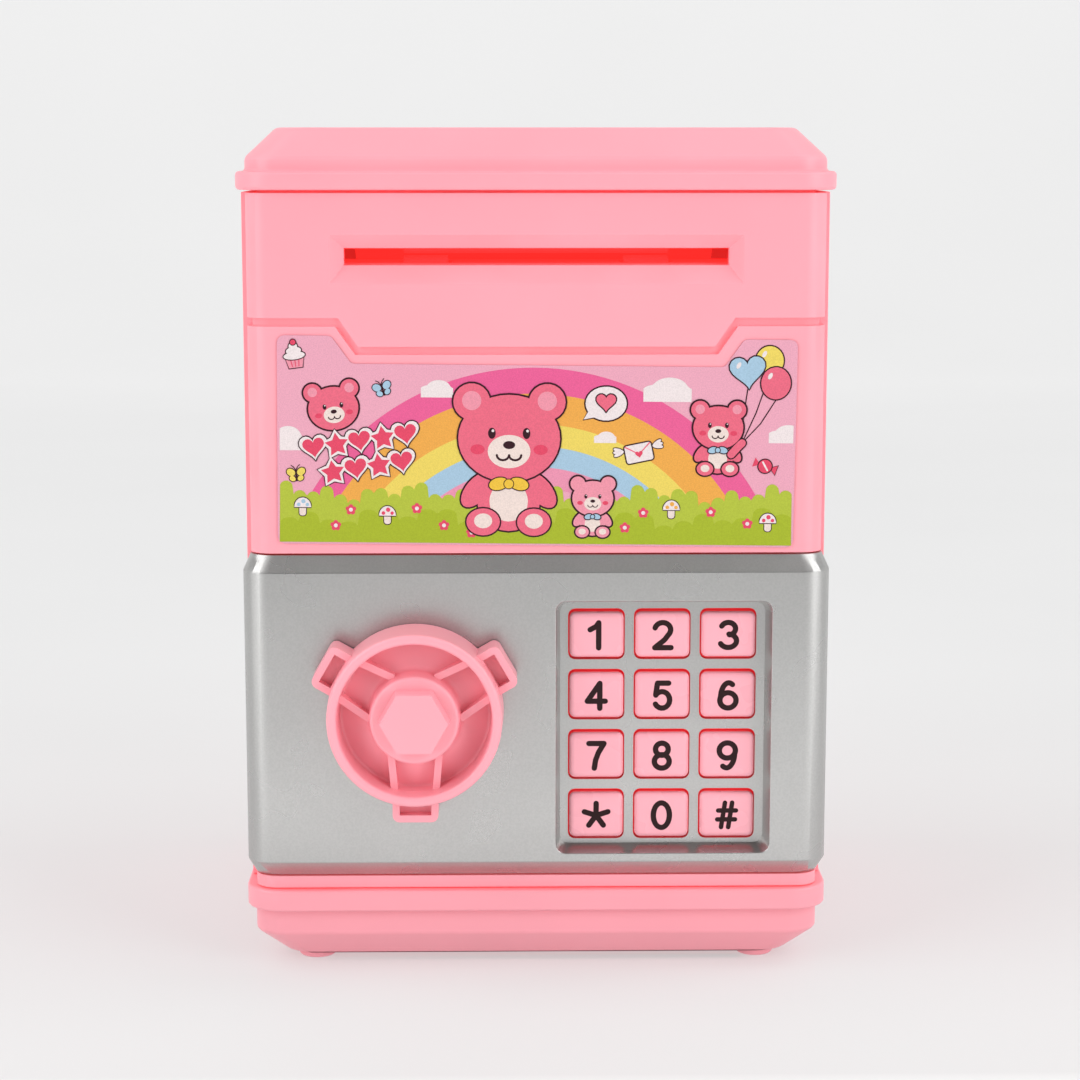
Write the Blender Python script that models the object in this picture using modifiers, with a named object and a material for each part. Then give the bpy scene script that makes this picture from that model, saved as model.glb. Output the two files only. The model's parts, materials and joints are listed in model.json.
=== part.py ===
"""Toy safe coin bank with a keypad door, a turning knob, a note feeder and a coin slot.

+Z is up, the front faces -Y and +X is on the right of someone facing the front. The origin is
on the floor under the centre of the bounding box. Named lengths are in millimetres and the
helper functions turn them into metres. Heights are measured from a datum plane just above the
floor, and the finished assembly is lifted so that its feet stand at zero.
"""
import math

import bmesh
import bpy
from mathutils import Matrix, Vector

MM = 0.001
GAP = 0.3                    # clearance between separate pieces that meet
RUNNING = 0.1                # radial clearance of a pin in its hole

# Planes and half widths of the casing
FASCIA_Y = -48.0             # front face of the upper fascia
SEAM_Y = -36.0               # front shell and rear shell meet here
REAR_Y = 65.0                # back face of the rear shell
FRONT_HALF = 64.8
REAR_HALF = 66.4
FLANGE_HALF = 67.1
FLANGE_FRONT_Y = -49.8
FLANGE_REAR_Y = 67.0
WALL = 2.2

# Levels above the datum plane
FLOOR = -2.0
FOOT_TOP = -0.4
FOOT_PLACE = (51.4, -36.2, 52.0)         # half distance apart, front row and rear row
FOOT_RADIUS = 4.3
BAND_LOW = 6.2
BASE_FLANGE_LOW = 12.0
BASE_TOP = 17.0
SHELL_LOW = 17.3
SILL_TOP = 20.1
DOOR_LOW = 20.5
DOOR_HIGH = 94.8
FASCIA_LOW = 95.2
SHELF_TOP = 97.4
SHELL_HIGH = 175.7
LID_LOW = 176.3
LID_FLANGE_TOP = 180.4
LID_BAND_TOP = 183.4
LID_TOP = 190.0
LID_CHAMFER = 6.6

# Note slot in the fascia and the groove above the label
SLOT_HALF = 42.9
SLOT_LOW = 159.7
SLOT_HIGH = 163.5
SLOT_FRAME = (46.0, 155.7, 166.5)        # half width, bottom and top of the bevelled frame
SLOT_DEPTH = 2.6
GROOVE_SIDE = (146.3, 148.1)             # bottom and top of the groove beside the step
GROOVE_MIDDLE = (140.0, 141.7)           # and in the middle
GROOVE_TURNS = (44.2, 39.8)              # half widths where it starts and ends its step
GROOVE_DEPTH = 1.2
LABEL_TILT = math.radians(0.6)

# Door, its hinge and the keypad
DOOR_HALF = 66.5
DOOR_FRONT_Y = -51.0
DOOR_BACK_Y = -36.6
DOOR_CHAMFER = 3.6
HINGE = (60.0, -43.1)
HINGE_PIN_RADIUS = 1.5
PAD_CENTRE = (28.7, 55.3)
PAD_HALF = (24.45, 29.3)
PAD_DEPTH = 5.2
PAD_DRAFT = 1.1
PAD_FLOOR = 2.0
KEY_PITCH = (15.0, 14.04)
KEY_HALF = (6.15, 5.2)
KEY_HOLE_CLEARANCE = (0.3, 0.7)
KEY_CORNER = 1.3
KEY_HOLE_CORNER = 1.6
KEY_SKIRT = (0.9, 1.2)       # how far the skirt behind the pan reaches past the key
KEY_PROUD = 1.8
KEY_CENTRE = (28.6, 55.1)
KEY_NAMES = ("1", "2", "3", "4", "5", "6", "7", "8", "9", "star", "0", "hash")

# Knob, latch bolt and its solenoid
KNOB = (-27.4, 60.0)
KNOB_GAP = 0.5
KNOB_RIM = 19.5
KNOB_HEIGHT = 12.6
SHAFT_REACH = 17.3           # shaft behind the back of the knob
LUG_TIP = 24.1
LUG_HALF = 5.15
LUG_WALL = 1.6
LUG_FRONT = 8.2               # lug face, ahead of the knob's back
LUG_POCKET_FLOOR = 5.2
KNOB_STEPS = 64
HEXAGON_TURN = math.radians(30)
PINION_MODULE = 1.0
PINION_TEETH = 12
BOLT_Y = (-33.0, -30.4)
BOLT_TRAVEL = PINION_MODULE * PINION_TEETH / 2 * math.radians(60)
PLUNGER_X = -40.0

# Note feeder
FEED_AXIS = (-32.0, 155.4)
FEED_RADIUS = 6.0
PINCH_AXIS = (-32.0, 166.8)
PINCH_RADIUS = 5.0
FEED_MODULE = 1.0
FEED_TEETH = 24
MOTOR_TEETH = 8
MOTOR_ANGLE = math.radians(-50)

CELL_RADIUS = 7.25
CELL_LENGTH = 50.0
CELL_PITCH = 15.0
CELL_CENTRE = (0.0, 14.0, 11.2)


def clear_scene():
    """Remove every object of the open scene."""
    for obj in list(bpy.data.objects):
        bpy.data.objects.remove(obj, do_unlink=True)


def new_collection(name):
    """Collection linked to the scene."""
    found = bpy.data.collections.new(name)
    bpy.context.scene.collection.children.link(found)
    return found


clear_scene()
PARTS = new_collection("toy_safe_coin_bank")
CUTTERS = new_collection("cutters")


def finish_of(name, colour, roughness, metallic=0.0):
    """Principled material with one colour."""
    material = bpy.data.materials.new(name)
    material.use_nodes = True
    shader = material.node_tree.nodes["Principled BSDF"]
    shader.inputs["Base Color"].default_value = (*colour, 1.0)
    shader.inputs["Roughness"].default_value = roughness
    shader.inputs["Metallic"].default_value = metallic
    return material


PINK = finish_of("pink_plastic", (0.93, 0.42, 0.50), 0.35)
SILVER = finish_of("silver_paint", (0.45, 0.45, 0.45), 0.38, 0.8)
KEY_PINK = finish_of("key_pink", (0.93, 0.46, 0.54), 0.4)
PAPER = finish_of("printed_label", (0.90, 0.45, 0.60), 0.5)
WHITE = finish_of("white_plastic", (0.80, 0.80, 0.78), 0.45)
BLACK = finish_of("black_plastic", (0.03, 0.03, 0.03), 0.5)
STEEL = finish_of("steel", (0.55, 0.55, 0.56), 0.3, 1.0)
BRASS = finish_of("brass", (0.70, 0.50, 0.20), 0.3, 1.0)
RUBBER = finish_of("rubber", (0.06, 0.06, 0.06), 0.8)
SILICONE = finish_of("silicone", (0.70, 0.70, 0.68), 0.7)
BOARD = finish_of("circuit_board", (0.03, 0.22, 0.10), 0.5)
CELL = finish_of("battery_sleeve", (0.10, 0.12, 0.30), 0.35, 0.3)


# ---- Shapes ------------------------------------------------------------------------------------

def block(low, high, radius=0.0, along="Z", where=None, segments=6):
    """Box between two corners; its edges along one axis are rounded where asked."""
    low, high = Vector(low) * MM, Vector(high) * MM
    bm = bmesh.new()
    bmesh.ops.create_cube(bm, size=1.0)
    bmesh.ops.scale(bm, vec=high - low, verts=bm.verts)
    bmesh.ops.translate(bm, vec=(low + high) / 2, verts=bm.verts)
    if radius:
        axis = Vector([float(letter == along) for letter in "XYZ"])
        chosen = []
        for edge in bm.edges:
            first, second = (vert.co for vert in edge.verts)
            lies_along = abs((second - first).normalized().dot(axis)) > 0.9
            if lies_along and (where is None or where((first + second) / 2 / MM)):
                chosen.append(edge)
        bmesh.ops.bevel(bm, geom=chosen, offset=radius * MM, segments=segments,
                        profile=0.5, affect="EDGES")
    return bm


def draw_out(bm, direction, length, scale=(1.0, 1.0, 1.0), about=(0.0, 0.0, 0.0)):
    """Extrude the outermost face along a direction and scale it about a point."""
    direction = Vector(direction)
    bm.faces.ensure_lookup_table()
    face = max(bm.faces, key=lambda each: each.calc_center_median().dot(direction))
    outer = bmesh.ops.extrude_discrete_faces(bm, faces=[face])["faces"][0]
    about = Vector(about) * MM
    for vert in outer.verts:
        offset = vert.co - about
        vert.co = about + Vector(a * b for a, b in zip(offset, scale)) + direction * length * MM
    return bm


def rod(start, end, radius, sides=16, end_radius=None, turn=0.0):
    """Cylinder or cone between two points, turned about its own axis."""
    start, end = Vector(start) * MM, Vector(end) * MM
    bm = bmesh.new()
    bmesh.ops.create_cone(bm, cap_ends=True, segments=sides, depth=(end - start).length,
                          radius1=radius * MM, radius2=(end_radius or radius) * MM,
                          matrix=Matrix.Rotation(turn, 4, "Z"))
    rotation = Vector((0, 0, 1)).rotation_difference(end - start)
    bm.transform(Matrix.Translation((start + end) / 2) @ rotation.to_matrix().to_4x4())
    return bm


def both(*meshes):
    """Several bmeshes in one, for cutters that cut in many places."""
    joined = bmesh.new()
    for bm in meshes:
        mesh = bpy.data.meshes.new("piece")
        bm.to_mesh(mesh)
        bm.free()
        joined.from_mesh(mesh)
        bpy.data.meshes.remove(mesh)
    return joined


def outline_plate(outlines, thickness, matrix):
    """Plate from flat outlines in millimetres: the first is its edge, the others are holes."""
    curve = bpy.data.curves.new("outline", "CURVE")
    curve.dimensions = "2D"
    curve.fill_mode = "BOTH"
    curve.extrude = thickness / 2 * MM
    for outline in outlines:
        spline = curve.splines.new("POLY")
        spline.points.add(len(outline) - 1)
        for point, (x, y) in zip(spline.points, outline):
            point.co = (x * MM, y * MM, 0.0, 1.0)
        spline.use_cyclic_u = True
    holder = bpy.data.objects.new("outline", curve)
    CUTTERS.objects.link(holder)
    mesh = bpy.data.meshes.new_from_object(holder.evaluated_get(bpy.context.evaluated_depsgraph_get()))
    bm = bmesh.new()
    bm.from_mesh(mesh)
    bmesh.ops.remove_doubles(bm, verts=bm.verts, dist=0.005 * MM)
    bm.transform(matrix)
    if bm.calc_volume(signed=True) < 0:
        bmesh.ops.reverse_faces(bm, faces=bm.faces)
    bpy.data.objects.remove(holder)
    bpy.data.meshes.remove(mesh)
    bpy.data.curves.remove(curve)
    return bm


def circle(radius, sides=24, turn=0.0):
    """Points of a circle."""
    angles = [turn + 2 * math.pi * step / sides for step in range(sides)]
    return [(radius * math.cos(angle), radius * math.sin(angle)) for angle in angles]


def gear_outline(module, teeth, phase=0.0):
    """Trapezoid teeth with room to run; phase turns the first tooth, in radians."""
    pitch_radius = module * teeth / 2
    step = 2 * math.pi / teeth
    corners = ((pitch_radius - 1.1 * module, 0.30), (pitch_radius + 0.75 * module, 0.08))
    points = []
    for tooth in range(teeth):
        middle = phase + tooth * step
        for radius, width in corners:
            points.append((radius, middle - width * step))
        for radius, width in reversed(corners):
            points.append((radius, middle + width * step))
    return [(radius * math.cos(angle), radius * math.sin(angle)) for radius, angle in points]


def facing(axis, origin):
    """Matrix that lays a flat outline with its own z along an axis, at a point in millimetres."""
    if axis == "X":
        turn = Matrix(((0, 0, 1), (1, 0, 0), (0, 1, 0)))
    elif axis == "Y":
        turn = Matrix(((1, 0, 0), (0, 0, -1), (0, 1, 0)))
    else:
        turn = Matrix.Identity(3)
    return Matrix.Translation(Vector(origin) * MM) @ turn.to_4x4()


# ---- Objects -----------------------------------------------------------------------------------

def part(name, bm, material, origin=(0.0, 0.0, 0.0), smooth=True):
    """Named object from a bmesh in world place, with its own origin."""
    mesh = bpy.data.meshes.new(name)
    bm.to_mesh(mesh)
    bm.free()
    mesh.transform(Matrix.Translation(-Vector(origin) * MM))
    if smooth:
        mesh.shade_smooth()
        mesh.set_sharp_from_angle(angle=math.radians(32))
    mesh.materials.append(material)
    obj = bpy.data.objects.new(name, mesh)
    obj.location = Vector(origin) * MM
    PARTS.objects.link(obj)
    return obj


def cutter(name, bm):
    """Hidden object that only cuts or joins."""
    mesh = bpy.data.meshes.new(name)
    bm.to_mesh(mesh)
    bm.free()
    obj = bpy.data.objects.new(name, mesh)
    obj.hide_render = True
    obj.display_type = "WIRE"
    CUTTERS.objects.link(obj)
    return obj


def combine(target, bm, name, operation):
    """Add a Boolean modifier with its own hidden object."""
    other = cutter(f"{target.name}_{name}", bm)
    modifier = target.modifiers.new(name, "BOOLEAN")
    modifier.operation = operation
    modifier.solver = "EXACT"
    modifier.object = other
    return other


def cut(target, bm, name):
    """Subtract a bmesh."""
    return combine(target, bm, name, "DIFFERENCE")


def add(target, bm, name):
    """Join a bmesh."""
    return combine(target, bm, name, "UNION")


def turned(name, profile, material, axis, origin, steps=32, closed=False):
    """Turned object: (radius, height) points run down the outer side, heights along the axis."""
    bm = bmesh.new()
    verts = [bm.verts.new((radius * MM, 0.0, height * MM)) for radius, height in profile]
    pairs = list(zip(verts, verts[1:]))
    if closed:
        pairs.append((verts[-1], verts[0]))
    for pair in pairs:
        bm.edges.new(pair)
    mesh = bpy.data.meshes.new(name)
    bm.to_mesh(mesh)
    bm.free()
    mesh.materials.append(material)
    obj = bpy.data.objects.new(name, mesh)
    PARTS.objects.link(obj)
    obj.rotation_mode = "QUATERNION"
    obj.rotation_quaternion = Vector((0, 0, 1)).rotation_difference(Vector(axis))
    obj.location = Vector(origin) * MM
    screw = obj.modifiers.new("turn", "SCREW")
    screw.steps = steps
    screw.render_steps = steps
    screw.use_merge_vertices = True
    screw.merge_threshold = 0.00001
    screw.use_smooth_shade = True
    return obj


def ride_on(pivot, objects):
    """Parent objects to an empty at a pivot without moving them."""
    for obj in objects:
        obj.parent = pivot
        obj.matrix_parent_inverse = Matrix.Translation(-pivot.location)


def pivot_at(name, place):
    """Empty on a joint's axis."""
    empty = bpy.data.objects.new(name, None)
    empty.empty_display_size = 0.01
    empty.location = Vector(place) * MM
    PARTS.objects.link(empty)
    return empty


def pan_screw(name, head, tip, material=STEEL, shank=1.3, head_radius=2.6, head_height=1.6):
    """Screw whose head is at one point and whose tip is at another."""
    head, tip = Vector(head), Vector(tip)
    length = (tip - head).length
    profile = [(0.0, length), (shank, length - 1.2), (shank, head_height), (head_radius, head_height),
               (head_radius - 0.5, 0.0), (0.0, 0.0)]
    return turned(name, profile, material, (tip - head).normalized(), head, steps=10)


# ---- Casing ------------------------------------------------------------------------------------

def rounded_behind(place):
    return place.y > 0


def rounded_in_front(place):
    return place.y < -41.0


def stepped_tray(inset, low, high):
    """Outer form of the base: sloped foot, band and flange, drawn in by an inset."""
    half = FLANGE_HALF - 1.9 - inset
    front, rear = FLANGE_FRONT_Y + 1.9 + inset, FLANGE_REAR_Y - 1.9 - inset
    middle = (0.0, (front + rear) / 2, 0.0)
    body = block((-half, front, BAND_LOW), (half, rear, high), radius=7.0 - inset)
    slope = BAND_LOW - low
    shrink = (1 - slope / half, 1 - slope / ((rear - front) / 2), 1.0)
    return draw_out(body, (0, 0, -1), slope, shrink, middle)


def make_base_tray():
    """Tray with the outer flange, four feet and the battery bay open below."""
    tray = part("base_tray", stepped_tray(0.0, FOOT_TOP, BASE_TOP), PINK)
    flange = block((-FLANGE_HALF, FLANGE_FRONT_Y, BASE_FLANGE_LOW),
                   (FLANGE_HALF, FLANGE_REAR_Y, BASE_TOP), radius=8.5)
    add(tray, flange, "flange")
    cut(tray, stepped_tray(WALL, FOOT_TOP + WALL, BASE_TOP + 5), "inside")
    x, y, z = CELL_CENTRE
    half_x, half_y = CELL_LENGTH / 2 + 3.2, 1.5 * CELL_PITCH + 1.2
    bay_top = z + CELL_RADIUS + 0.4
    add(tray, block((x - half_x - 1.6, y - half_y - 1.6, FOOT_TOP + 0.6),
                    (x + half_x + 1.6, y + half_y + 1.6, bay_top + 1.5)), "bay_walls")
    post_y = y + half_y + 5.5
    add(tray, block((-6.0, post_y - 4.5, FOOT_TOP + 0.8), (6.0, post_y + 6.5, 9.0)), "bay_screw_post")
    cut(tray, block((x - half_x, y - half_y, FLOOR), (x + half_x, y + half_y, bay_top)), "bay")
    cut(tray, block((x - half_x - 1.2, y - half_y - 1.0, FLOOR),
                    (x + half_x + 1.2, y + half_y + 10.0, FOOT_TOP + 2.0)), "cover_seat")
    cut(tray, rod((0, post_y, FLOOR), (0, post_y, 8.0), 1.3 + RUNNING, 12), "bay_screw_hole")
    for side_x in (-1, 1):
        for end_y in FOOT_PLACE[1:]:
            place = (FOOT_PLACE[0] * side_x, end_y)
            tag = f"{'left' if side_x < 0 else 'right'}_{'front' if end_y < 0 else 'rear'}"
            foot = rod((*place, FLOOR), (*place, FOOT_TOP + 1.0), FOOT_RADIUS, 20, FOOT_RADIUS + 0.4)
            add(tray, foot, f"foot_{tag}")
    for number, place in enumerate(base_screw_places(), 1):
        add(tray, rod((*place, FOOT_TOP + 0.5), (*place, 9.0), 4.4, 12), f"pillar_{number}")
        cut(tray, rod((*place, FLOOR), (*place, 6.5), 2.6 + RUNNING, 10), f"counterbore_{number}")
        cut(tray, rod((*place, 5.0), (*place, 12.0), 1.3 + RUNNING, 10), f"screw_hole_{number}")
    return tray


def base_screw_places():
    """Plan positions of the four screws that hold the base to the floor plate."""
    return [(x, y) for y in (-24.0, 41.5) for x in (-50.0, 50.0)]


def make_base_fixings():
    """Battery cover, its screw, the base screws and the battery set."""
    x, y, z = CELL_CENTRE
    half_x, half_y = CELL_LENGTH / 2 + 3.2, 1.5 * CELL_PITCH + 1.2
    low, high = FOOT_TOP + 0.1, FOOT_TOP + 2.0 - GAP
    cover = part("battery_cover", block((x - half_x - 0.9, y - half_y - 0.7, low),
                                        (x + half_x + 0.9, y + half_y + 9.7, high), radius=1.5), PINK)
    cut(cover, rod((0, y + half_y + 5.5, FLOOR), (0, y + half_y + 5.5, 5), 1.5, 12), "screw_hole")
    cut(cover, both(*[block((x - 9, y - 13 + 3 * rib, FLOOR), (x + 9, y - 12 + 3 * rib, low + 0.5))
                      for rib in range(5)]), "finger_ribs")
    pan_screw("battery_cover_screw", (0, y + half_y + 5.5, low - 1.2), (0, y + half_y + 5.5, 7.2),
              head_radius=2.3, head_height=1.1)
    for number, place in enumerate(base_screw_places(), 1):
        pan_screw(f"base_screw_{number}", (*place, 4.8), (*place, 17.5), head_radius=2.4)
    for number in range(3):
        flip = 1 if number % 2 else -1
        centre_y = y + (number - 1) * CELL_PITCH
        profile = [(0.0, CELL_LENGTH / 2), (2.6, CELL_LENGTH / 2), (2.6, CELL_LENGTH / 2 - 1.4),
                   (6.6, CELL_LENGTH / 2 - 1.4), (CELL_RADIUS, CELL_LENGTH / 2 - 2.2),
                   (CELL_RADIUS, -CELL_LENGTH / 2 + 0.6), (6.6, -CELL_LENGTH / 2), (0.0, -CELL_LENGTH / 2)]
        turned(f"battery_cell_{number + 1}", profile, CELL, (flip, 0, 0), (x, centre_y, z), steps=20)
    for side, name in ((-1, "left"), (1, "right")):
        inner = x + side * (CELL_LENGTH / 2 + 1.2)
        outer = x + side * (CELL_LENGTH / 2 + 1.7)
        part(f"battery_contact_{name}",
             block((min(inner, outer), y - half_y + 0.5, z - 5.5),
                   (max(inner, outer), y + half_y - 0.5, z + 5.5)), STEEL)


def make_chamber_floor():
    """Plate under the cash chamber, clamped between the base and the rails of the rear shell."""
    low, high = 20.6, 22.2
    plate = part("chamber_floor", block((-63.4, SEAM_Y + 2.9, low), (63.4, REAR_Y - WALL - 0.4, high),
                                        radius=4.4, where=rounded_behind), PINK)
    for number, place in enumerate(base_screw_places(), 1):
        add(plate, rod((*place, 9.3), (*place, 21.0), 3.6, 12), f"post_{number}")
        cut(plate, rod((*place, 8.0), (*place, 18.5), 1.3 + RUNNING, 10), f"post_hole_{number}")
    return plate


def make_rear_shell():
    """Two sides and the back in one moulding, with rails for the floor and the deck."""
    shell = part("rear_shell", block((-REAR_HALF, SEAM_Y, SHELL_LOW), (REAR_HALF, REAR_Y, SHELL_HIGH),
                                     radius=7.0, where=rounded_behind), PINK)
    inside = block((-REAR_HALF + WALL, SEAM_Y - 20, 0), (REAR_HALF - WALL, REAR_Y - WALL, 200),
                   radius=7.0 - WALL, where=rounded_behind)
    cut(shell, inside, "inside")
    for side in (-1, 1):
        tag = "left" if side < 0 else "right"
        for level, name in ((20.3, "floor_rail"), (97.4, "deck_rail")):
            near, far = sorted((side * (REAR_HALF - WALL - 3.0), side * (REAR_HALF - 1.0)))
            add(shell, block((near, -30.0, level - 2.0), (far, 55.0, level)), f"{name}_{tag}")
    grille = [block((28 - reach, REAR_Y - 5, 131 + 5 * row), (28 + reach, REAR_Y + 5, 133 + 5 * row),
                    radius=0.95, along="Y", segments=2)
              for row, reach in ((-2, 9.0), (-1, 12.0), (0, 13.0), (1, 12.0), (2, 9.0))]
    cut(shell, both(*grille), "speaker_grille")
    return shell


def groove_band(low_y, high_y):
    """Slab that follows the groove's stepped course across the front."""
    side_low, side_high = GROOVE_SIDE
    mid_low, mid_high = GROOVE_MIDDLE
    outer, inner = GROOVE_TURNS
    reach = 80.0
    top = [(reach, side_high), (outer, side_high), (inner, mid_high)]
    bottom = [(inner + 0.7, mid_low), (outer + 0.7, side_low), (reach, side_low)]
    left_top = [(-x, z) for x, z in reversed(top)]
    left_bottom = [(-x, z) for x, z in reversed(bottom)]
    outline = top + left_top + left_bottom + bottom
    return outline_plate([outline], high_y - low_y, facing("Y", (0, (low_y + high_y) / 2, 0)))


def make_front_shell():
    """Fascia with the note slot, the frame round the doorway and the sill under the door."""
    shell = part("front_shell", block((-FRONT_HALF, FASCIA_Y, SHELL_LOW),
                                      (FRONT_HALF, SEAM_Y - GAP, SHELL_HIGH),
                                      radius=5.0, where=rounded_in_front), PINK)
    tongue_half = REAR_HALF - WALL - 0.4
    tongue_rear = SEAM_Y + 2.6
    add(shell, block((-tongue_half, SEAM_Y - 2, SHELL_LOW + 0.3),
                     (tongue_half, tongue_rear, SHELL_HIGH - 0.3)), "tongue")
    cut(shell, block((-90, -90, SILL_TOP), (90, SEAM_Y - 0.2, FASCIA_LOW)), "door_bay")
    cut(shell, block((-FRONT_HALF + WALL, FASCIA_Y + WALL, SHELF_TOP),
                     (FRONT_HALF - WALL, 0, 200), radius=2.8, where=rounded_in_front), "upper_hollow")
    cut(shell, block((-52, -50, 25), (55, -20, 90), radius=4.0, along="Y"), "doorway")
    add(shell, block((-49, FASCIA_Y + 1.5, 147.0), (49, -42.6, 172.0)), "slot_block")
    half, low, high = SLOT_FRAME
    bevel = block((-half, FASCIA_Y - 2, low), (half, FASCIA_Y, high))
    rise = (SLOT_HIGH - SLOT_LOW) / (high - low)
    shift = (SLOT_LOW + SLOT_HIGH) / 2 - (low + high) / 2
    draw_out(bevel, (0, 1, 0), SLOT_DEPTH, (SLOT_HALF / half, 1.0, rise), (0, FASCIA_Y, (low + high) / 2))
    nudge_rear(bevel, FASCIA_Y + SLOT_DEPTH, shift)
    cut(shell, bevel, "slot_frame")
    cut(shell, block((-SLOT_HALF, -60, SLOT_LOW), (SLOT_HALF, -30, SLOT_HIGH)), "note_slot")
    groove = cut(shell, groove_band(-60.0, SEAM_Y - 1.0), "groove")
    keep = block((-FRONT_HALF + GROOVE_DEPTH, FASCIA_Y + GROOVE_DEPTH, 100),
                 (FRONT_HALF - GROOVE_DEPTH, 0, 170), radius=3.8, where=rounded_in_front)
    combine(groove, keep, "core", "DIFFERENCE")
    x, y = HINGE
    add(shell, block((x - 3.6, FASCIA_Y + 1.5, SHELF_TOP - 0.5), (63.0, y + 5.0, 102.0)), "hinge_boss")
    for low_z, high_z, name in ((SHELL_LOW + 0.4, 30.0, "lower"), (90.0, 101.0, "upper")):
        cut(shell, rod((x, y, low_z), (x, y, high_z), HINGE_PIN_RADIUS + RUNNING, 20), f"pin_hole_{name}")
    for side, tag in ((-1, "left"), (1, "right")):
        hole = rod((44.0 * side, -44.6, 150.5), (44.0 * side, -40.0, 150.5), 1.1, 10)
        cut(shell, hole, f"feed_screw_{tag}")
    return shell


def nudge_rear(bm, plane_y, lift):
    """Raise the points on one plane."""
    for vert in bm.verts:
        if abs(vert.co.y - plane_y * MM) < 1e-6:
            vert.co.z += lift * MM


def make_label():
    """Printed label on the fascia, with the same stepped top as the groove, stuck on slightly askew."""
    left, right, low, top, middle_top = -58.0, 58.0, 97.0, 143.8, 137.6
    turns = (-46.1, -41.5, 41.8, 46.1)
    corners = [(left, low), (right, low), (right, top), (turns[3], top), (turns[2], middle_top),
               (turns[1], middle_top), (turns[0], top), (left, top)]
    outline = rounded_outline(corners, 1.6)
    bm = outline_plate([outline], 0.25, facing("Y", (0, FASCIA_Y - 0.1 - 0.125, 0)))
    middle = Vector((0, FASCIA_Y, (low + top) / 2)) * MM
    bmesh.ops.rotate(bm, verts=bm.verts, cent=middle, matrix=Matrix.Rotation(LABEL_TILT, 3, "Y"))
    return part("label", bm, PAPER, smooth=False)


def rounded_outline(corners, radius, steps=3):
    """Polygon with each corner replaced by a short arc."""
    points = []
    count = len(corners)
    for index, corner in enumerate(corners):
        here = Vector(corner)
        back = (Vector(corners[index - 1]) - here).normalized()
        ahead = (Vector(corners[(index + 1) % count]) - here).normalized()
        angle = back.angle(ahead)
        reach = radius / math.tan(angle / 2)
        centre = here + (back + ahead).normalized() * (radius / math.sin(angle / 2))
        start = here + back * reach - centre
        end = here + ahead * reach - centre
        swing = start.angle_signed(end)
        for step in range(steps + 1):
            turn = Matrix.Rotation(-swing * step / steps, 2)
            points.append(tuple(centre + turn @ start))
    return points


def make_lid():
    """Lid with a rounded flange, a chamfered top, the coin slot and a lip inside the shells."""
    half, front, rear = FLANGE_HALF - 2.1, FLANGE_FRONT_Y + 1.9, FLANGE_REAR_Y - 2.0
    lid = part("lid", chamfered_block(half, front, rear, LID_FLANGE_TOP - 1.0, 7.0), PINK)
    flange = block((-FLANGE_HALF, FLANGE_FRONT_Y, LID_LOW), (FLANGE_HALF, FLANGE_REAR_Y, LID_FLANGE_TOP),
                   radius=8.5)
    add(lid, flange, "flange")
    lip_half = FRONT_HALF - WALL - 0.4
    lip = block((-lip_half, FASCIA_Y + WALL + 0.4, 172.0), (lip_half, REAR_Y - WALL - 0.4, LID_LOW + 1),
                radius=4.0)
    add(lid, lip, "lip")
    inside = chamfered_block(half - 4.2, front + 4.4, rear - 4.4, 170.0, 3.0, top=LID_TOP - WALL)
    cut(lid, inside, "inside")
    cut(lid, block((-16, 16.3, 180), (16, 19.7, 200), radius=1.2), "coin_slot")
    return lid


def chamfered_block(half, front, rear, low, radius, top=LID_TOP):
    """Rounded block whose top edge is chamfered all round."""
    shoulder = top - LID_CHAMFER
    body = block((-half, front, low), (half, rear, shoulder), radius=radius)
    depth = (rear - front) / 2
    shrink = (1 - LID_CHAMFER / half, 1 - LID_CHAMFER / depth, 1.0)
    return draw_out(body, (0, 0, 1), LID_CHAMFER, shrink, (0, (front + rear) / 2, 0))


def make_deck():
    """Deck between the feeder above and the cash chamber below, open in the middle."""
    deck = part("mechanism_deck", block((-63.4, SEAM_Y + 2.9, 97.7), (63.4, REAR_Y - WALL - 0.4, 99.7),
                                        radius=4.4, where=rounded_behind), WHITE)
    cut(deck, block((-45, -8, 90), (45, 50, 110), radius=3.0), "drop_opening")
    return deck


# ---- Note feeder and electronics ---------------------------------------------------------------

def motor_axis():
    """Place of the motor shaft, one centre distance from the feed shaft."""
    distance = FEED_MODULE * (FEED_TEETH + MOTOR_TEETH) / 2
    y, z = FEED_AXIS
    return (y + distance * math.cos(MOTOR_ANGLE), z + distance * math.sin(MOTOR_ANGLE))


def make_feed_frame():
    """Chassis of the feeder: two cheeks and the plate under the note."""
    frame = part("feed_frame", block((-47.5, -42.2, 158.4), (47.5, -21.5, 160.0)), WHITE)
    for side, tag in ((-1, "left"), (1, "right")):
        near, far = sorted((side * 47.0, side * 49.0))
        low = 134.0 if side > 0 else 146.5
        add(frame, block((near, -42.2, low), (far, -12.0 if side > 0 else -21.5, 172.0)), f"cheek_{tag}")
        ear_near, ear_far = sorted((side * 40.5, side * 47.8))
        add(frame, block((ear_near, -42.2, 147.0), (ear_far, -40.4, 153.5)), f"ear_{tag}")
        cut(frame, rod((44.0 * side, -46, 150.5), (44.0 * side, -36, 150.5), 1.4, 10), f"ear_hole_{tag}")
        cut(frame, block((side * 25 - 6, -39.0, 150), (side * 25 + 6, -25.0, 170)), f"tyre_window_{tag}")
    for (y, z), name in ((FEED_AXIS, "feed"), (PINCH_AXIS, "pinch")):
        cut(frame, rod((-60, y, z), (60, y, z), 1.5 + RUNNING, 16), f"{name}_bearing")
    y, z = motor_axis()
    cut(frame, rod((40, y, z), (60, y, z), 3.3, 16), "motor_hole")
    return frame


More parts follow.
